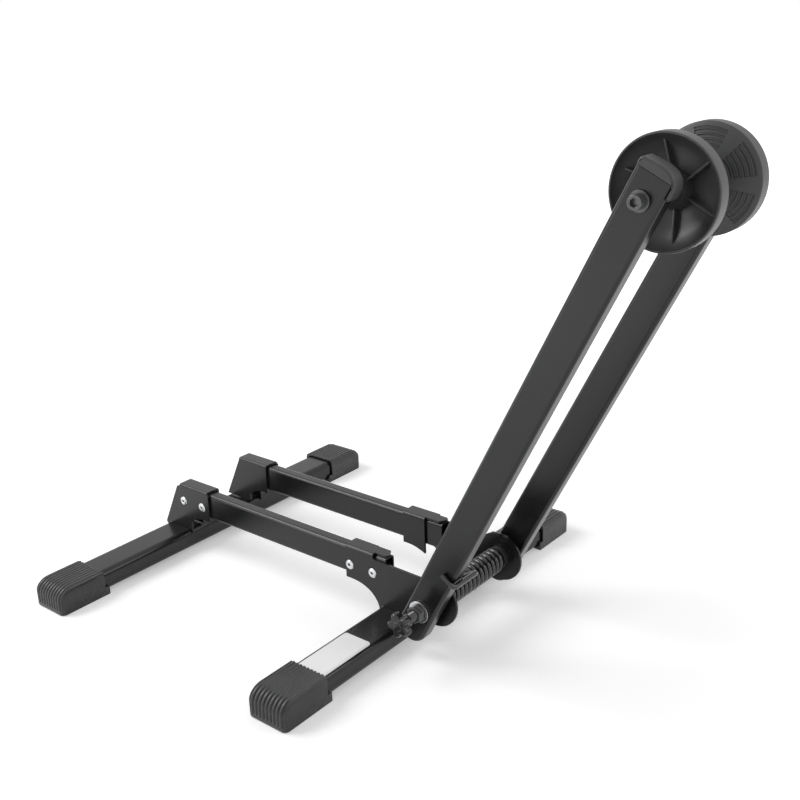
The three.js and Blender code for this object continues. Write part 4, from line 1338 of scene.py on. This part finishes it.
@dataclass
class Roller:
    """A dished roller: six ribs on the side of its arm, sectors of raised arcs on the other.

    In its own frame, y counts from the rack's middle out towards the arm.
    """

    side: Side
    pivot: Pivot
    up_arm: float = 388.9
    radius: float = 38.15
    rim: Point = (26.25, 37.8)
    rim_wall: float = 1.6
    nose: Point = (11.0, 17.5)
    web: float = 2.2
    hub: float = 8.0
    bore: float = 4.3
    pocket: Point = (8.6, 7.6)
    hub_end: float = 51.8
    sectors: int = 6
    sector_angle: float = 40.0
    turn: float = 15.0
    arcs: int = 5
    first_arc: float = 20.6
    arc_pitch: float = 3.2
    arc_half: float = 0.65
    arc_rise: float = 1.15
    recess: float = 0.6
    rib_thick: float = 1.5
    rib_rim: float = 32.2
    rib_hub: float = 23.4

    def _face(self, radius: float) -> float:
        """Where the plain gripping face lies at a radius."""
        share = (radius - self.nose[0]) / (self.radius - 0.6 - self.nose[0])
        return self.nose[1] + (self.rim[0] - self.nose[1]) * share

    def _dish(self, radius: float) -> float:
        """Where the bottom of the dish lies at a radius."""
        rim = self.radius - self.rim_wall
        share = min(max((radius - self.nose[0] - 2) / (rim - self.nose[0] - 2), 0), 1)
        low = self.nose[1] + self.web + 0.8
        return low + (self.rim[1] - 1.0 - low) * (0.45 * share + 0.55 * share**4.5)

    def _profile(self) -> list[tuple[float, float, bool]]:
        """Points round the roller's section: radius, y, and whether it bears the relief."""
        rim_in, rim_out = self.rim
        pocket_r, pocket_depth = self.pocket
        nose_r, nose_y = self.nose
        inner = self.radius - self.rim_wall
        rows = [(pocket_r, nose_y + 0.4, False), (pocket_r + 0.4, nose_y, False)]
        rows += [(nose_r - 0.4, nose_y, False), (nose_r + 0.4, nose_y + 0.25, False)]
        marks = {self.first_arc - 1.6, self.first_arc - 1.3, 13.5, 16.5}
        last = self.first_arc + (self.arcs - 1) * self.arc_pitch
        marks |= {last + 1.3, last + 1.6, self.radius - 2.0, self.radius - 1.2}
        for i in range(self.arcs):
            centre = self.first_arc + i * self.arc_pitch
            marks |= {centre + s * self.arc_half for s in (-1, -0.7, -0.35, 0, 0.35, 0.7, 1)}
        rows += [(r, self._face(r), True) for r in sorted(marks)]
        rows += [
            (self.radius - 0.75, rim_in + 0.05, False),
            (self.radius - 0.3, rim_in + 0.3, False),
            (self.radius, rim_in + 0.9, False),
            (self.radius, rim_out - 0.6, False),
            (self.radius - 0.18, rim_out - 0.15, False),
            (self.radius - 0.6, rim_out, False),
            (inner + 0.5, rim_out, False),
            (inner + 0.1, rim_out - 0.3, False),
        ]
        span = inner - nose_r - 2
        rows += [
            (nose_r + 2 + span * t, self._dish(nose_r + 2 + span * t), False)
            for t in (1.0, 0.97, 0.93, 0.88, 0.8, 0.7, 0.6, 0.48, 0.36, 0.22, 0.1, 0.0)
        ]
        rows += [
            (nose_r, nose_y + pocket_depth + 1, False),
            (self.hub + 0.8, nose_y + pocket_depth + 3.4, False),
            (self.hub, nose_y + pocket_depth + 5, False),
            (self.hub, self.hub_end - 0.4, False),
            (self.hub - 0.4, self.hub_end, False),
            (self.bore, self.hub_end, False),
            (self.bore, nose_y + pocket_depth, False),
            (pocket_r, nose_y + pocket_depth, False),
        ]
        return rows

    def _angles(self) -> list[float]:
        """Angles round the roller, with edges where the sectors start and stop."""
        found = []
        for sector in range(self.sectors):
            start = sector * 360 / self.sectors
            found += [start, start + 0.7]
            found += [start + self.sector_angle * i / 12 for i in range(1, 12)]
            stop = start + self.sector_angle
            found += [stop - 0.7, stop]
            gap = 360 / self.sectors - self.sector_angle
            found += [stop + gap * i / 6 for i in range(1, 6)]
        return [math.radians(angle) for angle in found]

    def _relief(self, radius: float, angle: float) -> float:
        """How far the gripping face stands out, or is sunk, at a point."""
        within = math.degrees(angle) % (360 / self.sectors)
        last = self.first_arc + (self.arcs - 1) * self.arc_pitch
        inside = 0.35 < within < self.sector_angle - 0.35
        if not inside or not self.first_arc - 1.45 < radius < last + 1.45:
            return 0.0
        nearest = round((radius - self.first_arc) / self.arc_pitch)
        centre = self.first_arc + min(max(nearest, 0), self.arcs - 1) * self.arc_pitch
        near = max(0.0, 1 - abs(radius - centre) / self.arc_half)
        return self.arc_rise * min(1.0, near * 1.8) - self.recess

    def _body(self) -> Draft:
        """The turned body with its relief."""
        rings = []
        for radius, y, bears in self._profile():
            ring = []
            for angle in self._angles():
                lift = self._relief(radius, angle) if bears else 0.0
                ring.append(Vector((radius * math.sin(angle), y - lift, radius * math.cos(angle))))
            rings.append(ring)
        return Draft().skin(rings, closed=True)

    def _rib(self, turn: float) -> Draft:
        """One thin rib in the dish."""
        outer = self.radius - 0.9
        reach = [self.hub + 1 + (outer - self.hub - 1) * i / 14 for i in range(15)]
        outline = Outline(reach[0], self.nose[1] + 1)
        outline.to(*[(r, self._face(r) + 0.8) for r in reach[1:]])
        outline.to((outer, self.rib_rim), (reach[0], self.rib_hub))
        draft = Draft().prism([outline], Plane.XY, -self.rib_thick / 2, self.rib_thick / 2)
        draft.ease(0.3, 2, 50.0)
        return draft.move(Matrix.Rotation(turn, 4, "Y"))

    def build(self) -> None:
        """Makes the roller."""
        draft = self._body()
        for sector in range(self.sectors):
            middle = math.radians(sector * 360 / self.sectors + self.sector_angle / 2)
            draft.add(self._rib(middle - math.pi / 2))
        draft.move(Matrix.Rotation(math.radians(self.turn), 4, "Y"), self.side.turn)
        draft.shift(z=self.up_arm).move(self.pivot.from_arm())
        name = f"{self.side.word}_roller"
        body = Body.NEAR_ROLLER if self.side is Side.NEAR else Body.FAR_ROLLER
        draft.publish(f"{name}_moulding", FINISHES.roller, body, [name], 40.0)


@dataclass
class RollerAxle:
    """What holds a roller on its arm: socket screw, washer, and lock nut in the nose."""

    side: Side
    pivot: Pivot
    up_arm: float = 388.9
    arm_outer: float = 68.4
    arm_inner: float = 54.4
    flange: Point = (7.0, 1.5)
    head: Point = (4.9, 6.0)
    socket: Point = (5.0, 3.2)
    shank: float = 4.0
    washer: Point = (8.5, 2.0)
    nut: Point = (13.0, 7.0)
    nut_seat: float = 24.8

    def _screw(self) -> Draft:
        """The socket-head screw with its flange seated on the arm's outer face."""
        seat = self.arm_outer + FIT
        wide, step = self.flange[0], seat + self.flange[1]
        radius, end = self.head[0], step + self.head[1]
        across, depth = self.socket
        floor = end - depth
        loops = [Outline.ring(radius, 56), Outline.hexagon(across)]
        draft = Draft().prism(loops, Plane.XZ, floor, end)
        draft.ease(0.5, 3, 50.0, lambda at: at.y > end - 0.1)
        neck = [(0, seat + 0.2), (radius, seat + 0.2), (radius, floor + 0.02), (0, floor + 0.02)]
        draft.add(Draft().turned(neck, 56))
        lip = [(0, seat), (wide - 0.2, seat), (wide, seat + 0.2), (wide, step - 0.5)]
        lip += [(wide - 0.15, step - 0.15), (wide - 0.5, step), (0, step - 0.25)]
        draft.add(Draft().turned(lip, 64))
        shaft = [(0, 18.3), (3.3, 18.3), (self.shank, 19.0), (self.shank, seat + 1), (0, seat + 1)]
        return draft.add(Draft().turned(shaft, 40))

    def _washer(self) -> Draft:
        """The flat washer between the roller's hub and the arm."""
        to = self.arm_inner - FIT
        loops = [Outline.ring(self.washer[0], 56), Outline.ring(self.shank + FIT, 40)]
        return Draft().prism(loops, Plane.XZ, to - self.washer[1], to).ease(0.25, 2)

    def _nut(self) -> Draft:
        """The lock nut, with its collar, sunk in the roller's nose."""
        across, length = self.nut
        low = self.nut_seat - length
        loops = [Outline.hexagon(across), Outline.ring(self.shank + FIT, 36)]
        draft = Draft().prism(loops, Plane.XZ, low + 1.6, self.nut_seat).ease(0.45, 2, 50.0)
        collar = [(self.shank + FIT, low), (5.6, low), (6.1, low + 0.6), (6.1, low + 1.9)]
        return draft.add(Draft().turned([*collar, (self.shank + FIT, low + 1.9)], 40))

    def build(self) -> None:
        """Makes the three pieces."""
        word = self.side.word
        made = (
            (self._screw(), "screw", "socket_screw", FINISHES.blacked),
            (self._washer(), "washer", "flat_washer", FINISHES.blacked),
            (self._nut(), "nut", "lock_nut", FINISHES.zinc),
        )
        for draft, node, name, finish in made:
            draft.move(self.side.turn).shift(z=self.up_arm).move(self.pivot.from_arm())
            stands_for = [f"{word}_roller_{node}"]
            draft.publish(f"{word}_roller_{name}", finish, Body.ARMS, stands_for)


# ------------------------------------------------------------------ axle and knob


@dataclass
class Axle:
    """The bolt that the arms turn on, with its washers, spacer, bushes and hand knob."""

    pivot: Pivot
    bolt: float = 4.0
    thread_pitch: float = 1.25
    thread_depth: float = 0.55
    arm_outer: float = 68.4
    arm_inner: float = 54.4
    ear_outer: float = 48.3
    washer: Point = (9.5, 1.2)
    spacer: Point = (13.0, 6.0)
    head: Point = (13.0, 5.3)
    bush: float = 9.0
    collar: float = 10.0
    collar_span: Point = (40.8, 46.3)
    knob_y: float = -84.5
    knob_boss: Point = (6.0, 5.0)
    knob_thick: float = 8.0
    knob_radius: float = 9.4
    knob_lobe: float = 1.5
    knob_lobes: int = 5

    def _thread(self, low: float, high: float) -> Draft:
        """A real helical thread on the bolt, between two values of y."""
        sides, per_turn = 36, 6
        rows = int((high - low) / self.thread_pitch * per_turn)
        rings = []
        for row in range(rows + 1):
            y = low + (high - low) * row / rows
            ring = []
            for side in range(sides):
                phase = (y / self.thread_pitch + side / sides) % 1.0
                radius = self.bolt - self.thread_depth * abs(2 * phase - 1)
                angle = 2 * math.pi * side / sides
                ring.append(Vector((radius * math.cos(angle), y, radius * math.sin(angle))))
            rings.append(ring)
        return Draft().skin(rings)

    def _bolt(self) -> Draft:
        """The bolt: threaded at the knob's end, with a hexagon head on the far arm."""
        seat = self.arm_outer + 2 * FIT + self.washer[1]
        tip = self.knob_y - self.knob_boss[1] - self.knob_thick + 3.5
        draft = self._thread(tip, -70.0)
        draft.add(Draft().turned([(0, -70), (4, -70), (4, seat + 1), (0, seat + 1)], 40))
        across, height = self.head
        crown = Draft().prism([Outline.hexagon(across)], Plane.XZ, seat, seat + height)
        draft.add(crown.ease(0.5, 3, 50.0))
        disc = [(0, seat + height - 0.2), (5.7, seat + height - 0.2), (5.4, seat + height)]
        return draft.add(Draft().turned([*disc, (0, seat + height)], 48))

    def _knob(self) -> Draft:
        """The star knob: rounded lobes, a recessed face and a boss towards the arm."""
        front = self.knob_y - self.knob_boss[1]
        steps = self.knob_lobes * 24
        back = front - self.knob_thick
        levels = (
            (back, 0.80), (back + 0.3, 0.88), (back + 0.9, 0.955), (back + 2.0, 0.995),
            (back + 3.2, 1.0), (front - 2.6, 1.0), (front - 1.4, 0.985), (front - 0.6, 0.94),
            (front - 0.15, 0.87), (front, 0.80),
        )  # fmt: skip
        rings = []
        for y, scale in levels:
            ring = []
            for i in range(steps):
                angle = 2 * math.pi * i / steps
                wave = math.cos(self.knob_lobes * angle)
                radius = scale * (self.knob_radius + self.knob_lobe * wave * (1.25 - 0.25 * wave))
                ring.append(Vector((radius * math.cos(angle), y, radius * math.sin(angle))))
            rings.append(ring)
        draft = Draft().skin(rings)
        boss = self.knob_boss[0]
        lip = [(0, front - 1), (boss + 0.6, front - 1), (boss, front + 0.6)]
        lip += [(boss, self.knob_y - 0.5), (boss - 0.5, self.knob_y), (0, self.knob_y)]
        draft.add(Draft().turned(lip, 56))
        dimple = [(0, back - 0.35), (3.4, back - 0.35), (4.0, back - 0.1), (4.2, back + 0.2)]
        return draft.add(Draft().turned([*dimple, (0, back + 0.2)], 56))

    def _ring(self, outer: float, inner: float, low: float, high: float) -> Draft:
        """A plain round sleeve with eased edges."""
        loops = [Outline.ring(outer, 60), Outline.ring(inner, 44)]
        return Draft().prism(loops, Plane.XZ, min(low, high), max(low, high)).ease(0.25, 2)

    def _rings(self, side: Side) -> None:
        """Makes one side's washer, arm bush and spring collar."""
        sign, word = side.value, side.word
        seat = self.arm_outer + FIT
        washer = self._ring(self.washer[0], 4.3, sign * seat, sign * (seat + self.washer[1]))
        finish = FINISHES.chrome if side is Side.NEAR else FINISHES.zinc
        bush = self._ring(self.bush, 4.3, sign * self.ear_outer, sign * (self.arm_inner - FIT))
        low, high = self.collar_span
        collar = self._ring(self.collar, 5.8, sign * low, sign * high)
        made = (
            (washer, "pivot_washer", "bright_washer", finish, Body.ARMS),
            (bush, "arm_bush", "arm_spacer_bush", FINISHES.bush, Body.BASE),
            (collar, "spring_bush", "spring_collar", FINISHES.bush, Body.BASE),
        )
        for draft, node, name, dress, body in made:
            draft.move(self.pivot.from_arm())
            draft.publish(f"{word}_{name}", dress, body, [f"{word}_{node}"])

    def build(self) -> None:
        """Makes everything on the axle."""
        for side in Side:
            self._rings(side)
        place = self.pivot.from_arm()
        bolt = self._bolt().move(place)
        bolt.publish("pivot_bolt_threaded", FINISHES.blacked, Body.ARMS, ["pivot_bolt"])
        across, length = self.spacer
        high = -(self.arm_outer + 2 * FIT + self.washer[1])
        loops = [Outline.hexagon(across), Outline.ring(4.3, 40)]
        spacer = Draft().prism(loops, Plane.XZ, high - length, high).ease(0.5, 3, 50.0)
        spacer.move(place)
        spacer.publish("hex_spacer_nut", FINISHES.blacked, Body.ARMS, ["hex_spacer"])
        knob = self._knob().move(place)
        knob.publish("star_knob_moulding", FINISHES.knob, Body.KNOB, ["star_knob"], 50.0)


# ------------------------------------------------------------------ torsion spring


@dataclass
class TorsionSpring:
    """Round wire wound about the axle: one leg hooks the near arm, one rests on the leg.

    Both legs leave the coil at a tangent. Angles about the axle count from +X towards +Z.
    """

    pivot: Pivot
    leg: CrossLeg
    wire: float = 2.3
    coil: float = 9.0
    half: float = 38.2
    turns: int = 13
    steps: int = 28
    sides: int = 12
    hook_height: float = 47.0
    hook_rise: float = 2.6
    hook_end: float = 3.0
    rest_z: float = 10.0
    rest_angle: float = 158.0
    arm_half: float = 13.5
    arm_outer: float = 68.4

    @staticmethod
    def _corner(a: Vector, b: Vector, c: Vector, radius: float) -> list[Vector]:
        """Points round the bend at b, from the side of a to the side of c."""
        start = b + (a - b).normalized() * radius
        end = b + (c - b).normalized() * radius
        shares = [i / 10 for i in range(11)]
        return [start * (1 - t) ** 2 + b * 2 * t * (1 - t) + end * t * t for t in shares]

    def _line(self) -> list[Vector]:
        """The wire's middle line, from the hook on the near arm to its end on the leg."""
        lean = math.radians(self.pivot.lean)
        up = Vector((math.sin(lean), 0, math.cos(lean)))
        across = Vector((math.cos(lean), 0, -math.sin(lean)))

        def by_arm(v: float, s: float, y: float) -> Vector:
            """A point v across and s up the arm from the pivot."""
            return Vector((self.pivot.x, y, self.pivot.z)) + across * v + up * s

        def on_coil(angle: float, y: float) -> Vector:
            """A point on the coil's own cylinder."""
            x = self.pivot.x + self.coil * math.cos(angle)
            return Vector((x, y, self.pivot.z + self.coil * math.sin(angle)))

        clear = self.wire + FIT
        edge, face = self.arm_half + clear, -(self.arm_outer + clear)
        tip = by_arm(self.hook_end, self.hook_height + self.hook_rise, face)
        corner = by_arm(edge, self.hook_height, face)
        elbow = by_arm(edge, self.hook_height, -self.half)
        reach = Vector((elbow.x - self.pivot.x, elbow.z - self.pivot.z))
        first = math.atan2(reach.y, reach.x) + math.acos(self.coil / reach.length)
        heading = math.radians(self.rest_angle)
        last = heading + 2 * math.pi * self.turns
        start = on_coil(first, -self.half)
        line = [tip, *self._corner(tip, corner, elbow, 5), *self._corner(corner, elbow, start, 5)]
        count = round((last - first) / (2 * math.pi) * self.steps)
        for i in range(count + 1):
            share = i / count
            line.append(on_coil(first + (last - first) * share, self.half * (2 * share - 1)))
        tail = line[-1]
        run = Vector((-math.sin(heading), 0, math.cos(heading)))
        wall = self.leg.width / 2 + clear
        knee = tail + run * ((wall - tail.x) / run.x)
        toe = Vector((wall, tail.y, self.rest_z))
        return [*line, *self._corner(tail, knee, toe, 2), toe]

    def _tube(self, line: Sequence[Vector]) -> Draft:
        """A round wire along the line, its ends cut square with a small chamfer."""
        rings = []
        normal = Vector((0, 0, 1)).cross(line[1] - line[0]).normalized()
        last = len(line) - 1
        for i, spot in enumerate(line):
            along = (line[min(i + 1, last)] - line[max(i - 1, 0)]).normalized()
            normal = (normal - along * normal.dot(along)).normalized()
            other = along.cross(normal)
            ring = []
            for side in range(self.sides):
                angle = 2 * math.pi * side / self.sides
                spoke = normal * math.cos(angle) + other * math.sin(angle)
                ring.append(spot + spoke * self.wire)
            rings.append(ring)
        return Draft().skin(rings)

    def build(self) -> None:
        """Makes the spring, baked into place and joined to no rigid group."""
        draft = self._tube(self._line())
        draft.ease(0.4, 2, 60.0)
        wire = draft.publish("torsion_spring_wire", FINISHES.spring, None, ["torsion_spring"])
        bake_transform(wire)


# ------------------------------------------------------------------ studio


@dataclass
class Studio:
    """Pale floor, soft lights, white surroundings and the camera."""

    floor_size: float = 30.0
    floor_shade: float = 0.86
    world_strength: float = 0.5
    floor_fade: tuple[Point, Point] = ((0.25, 1.1), (0.32, 0.85))
    floor_span: Point = (-0.003, -0.0003)
    lamp_aim: tuple[float, float, float] = (0.05, 0.0, 0.1)
    camera_angles: tuple[float, float, float] = (39.44, 20.09, -1.80)
    camera_spot: tuple[float, float, float] = (518.79, -664.49, 508.14)
    camera_lens: float = 48.79
    camera_sensor: float = 36.0

    @staticmethod
    def _seen(wiring: Wiring) -> bpy.types.NodeSocket:
        """1 for rays that show the background itself, 0 for light that falls from it."""
        path = wiring.node("ShaderNodeLightPath").outputs
        feeds = {0: path["Is Camera Ray"], 1: path["Is Glossy Ray"]}
        either = wiring.node("ShaderNodeMath", feeds, operation="ADD").outputs[0]
        feeds = {0: either, 1: path["Is Transmission Ray"]}
        return wiring.node("ShaderNodeMath", feeds, operation="ADD", use_clamp=True).outputs[0]

    @staticmethod
    def _stage(draft: Draft, name: str) -> Wiring:
        """Ends a draft in metres as part of the stage.

        Args:
            draft: the mesh.
            name: name of the object.

        Returns:
            The wiring of its empty material.
        """
        piece = draft.as_object(name)
        made = bpy.data.materials.new(name)
        made.use_nodes = True
        made.node_tree.nodes.clear()
        piece.data.materials.append(made)
        return Wiring(made.node_tree)

    def _floor(self) -> None:
        """Makes the floor, which fades to white away from the rack and keeps its shadow."""
        size = (self.floor_size, self.floor_size)
        outline = Outline.rounded(size, self.floor_size * 0.2)
        draft = Draft().prism([outline], Plane.XY, *self.floor_span)
        wiring = self._stage(draft, "floor")
        spot = wiring.node("ShaderNodeTexCoord").outputs["Object"]
        away = wiring.node("ShaderNodeVectorMath", {0: spot}, operation="LENGTH").outputs["Value"]
        glow = wiring.times(self._seen(wiring), wiring.span(away, *self.floor_fade))
        feeds = {
            "Base Color": (self.floor_shade, self.floor_shade, self.floor_shade, 1),
            "Roughness": 0.9,
            "Specular IOR Level": 0.1,
            "Emission Color": (1, 1, 1, 1),
            "Emission Strength": glow,
        }
        shader = wiring.node("ShaderNodeBsdfPrincipled", feeds)
        wiring.node("ShaderNodeOutputMaterial", {"Surface": shader.outputs[0]})

    def _world(self) -> None:
        """Lights softly from all round, and shows white behind the rack."""
        world = bpy.data.worlds.new("studio")
        bpy.context.scene.world = world
        world.use_nodes = True
        world.node_tree.nodes.clear()
        wiring = Wiring(world.node_tree)
        strength = wiring.span(self._seen(wiring), (0.0, 1.0), (self.world_strength, 1.0))
        sky = wiring.node("ShaderNodeBackground", {"Color": (1, 1, 1, 1), "Strength": strength})
        wiring.node("ShaderNodeOutputWorld", {"Surface": sky.outputs[0]})

    def _lamp(self, name: str, spot: Vector, size: Point, power: float) -> None:
        """Adds a soft rectangular lamp aimed at the rack.

        Args:
            name: name of the lamp.
            spot: where it hangs, in metres.
            size: its width and height, in metres.
            power: its power, in watts.
        """
        data = bpy.data.lights.new(name, "AREA")
        data.shape, data.size, data.size_y = "RECTANGLE", size[0], size[1]
        data.energy = power
        lamp = bpy.data.objects.new(name, data)
        lamp.location = spot
        aim = Vector(self.lamp_aim) - spot
        lamp.rotation_euler = aim.to_track_quat("-Z", "Y").to_euler()
        bpy.context.scene.collection.objects.link(lamp)

    def _camera(self) -> None:
        """Sets the camera at the photograph's viewing angle."""
        azimuth, elevation, roll = (math.radians(a) for a in self.camera_angles)
        back = Vector(
            (
                math.sin(azimuth) * math.cos(elevation),
                -math.cos(azimuth) * math.cos(elevation),
                math.sin(elevation),
            )
        )
        right = (-back).cross(Vector((0, 0, 1))).normalized()
        up = right.cross(-back)
        right, up = (
            right * math.cos(roll) + up * math.sin(roll),
            up * math.cos(roll) - right * math.sin(roll),
        )
        data = bpy.data.cameras.new("camera")
        data.sensor_width, data.lens = self.camera_sensor, self.camera_lens
        data.clip_start, data.clip_end = 0.05, 60.0
        camera = bpy.data.objects.new("camera", data)
        turn = Matrix((right, up, back)).transposed().to_4x4()
        spot = Vector(self.camera_spot) * MM + Vector((FRONT_LEG_X, 0, 0))
        camera.matrix_world = Matrix.Translation(spot) @ turn
        bpy.context.scene.collection.objects.link(camera)
        bpy.context.scene.camera = camera

    def build(self) -> None:
        """Makes the studio."""
        self._floor()
        self._world()
        self._lamp("key_softbox", Vector((-1.2, -0.68, 1.44)), (1.0, 1.0), 18.0)
        self._lamp("low_strip", Vector((-1.19, -1.5, 0.62)), (0.35, 1.2), 5.0)
        self._lamp("rim_lamp", Vector((1.7, 1.0, 1.3)), (0.8, 1.2), 7.0)
        self._camera()
        bpy.context.scene.view_settings.view_transform = "Standard"


# ------------------------------------------------------------------ the whole rack


def dress_kept_nodes() -> None:
    """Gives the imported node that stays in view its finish."""
    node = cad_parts["pivot_sleeve"]
    node.data.materials.clear()
    node.data.materials.append(FINISHES.blacked.material())
    LOG.info("pivot_sleeve: kept, %s", FINISHES.blacked.slot)


def main() -> None:
    """Builds every piece of the rack and the studio round it."""
    logging.basicConfig(level=logging.INFO, format="%(name)s %(message)s")
    Studio().build()
    pivot = Pivot()
    legs = {end: CrossLeg(end) for end in End}
    rivets = {End.REAR: ((10.0, 52.0), (36.5, 52.0)), End.FRONT: ((-50.3, 51.0), (-24.4, 51.0))}
    for end, leg in legs.items():
        leg.build()
        for side in Side:
            FootCap(end, side).build()
            for number, spot in enumerate(rivets[end], 1):
                Rivet(end, side, number, spot).build()
    Sticker(legs[End.FRONT]).build()
    for side in Side:
        Rail(side).build()
        RearBracket(side).build()
        FrontBracket(side).build()
        Arm(side, pivot).build()
        Roller(side, pivot).build()
        RollerAxle(side, pivot).build()
    Axle(pivot).build()
    TorsionSpring(pivot, legs[End.FRONT]).build()
    dress_kept_nodes()


if __name__ == "__main__":
    main()
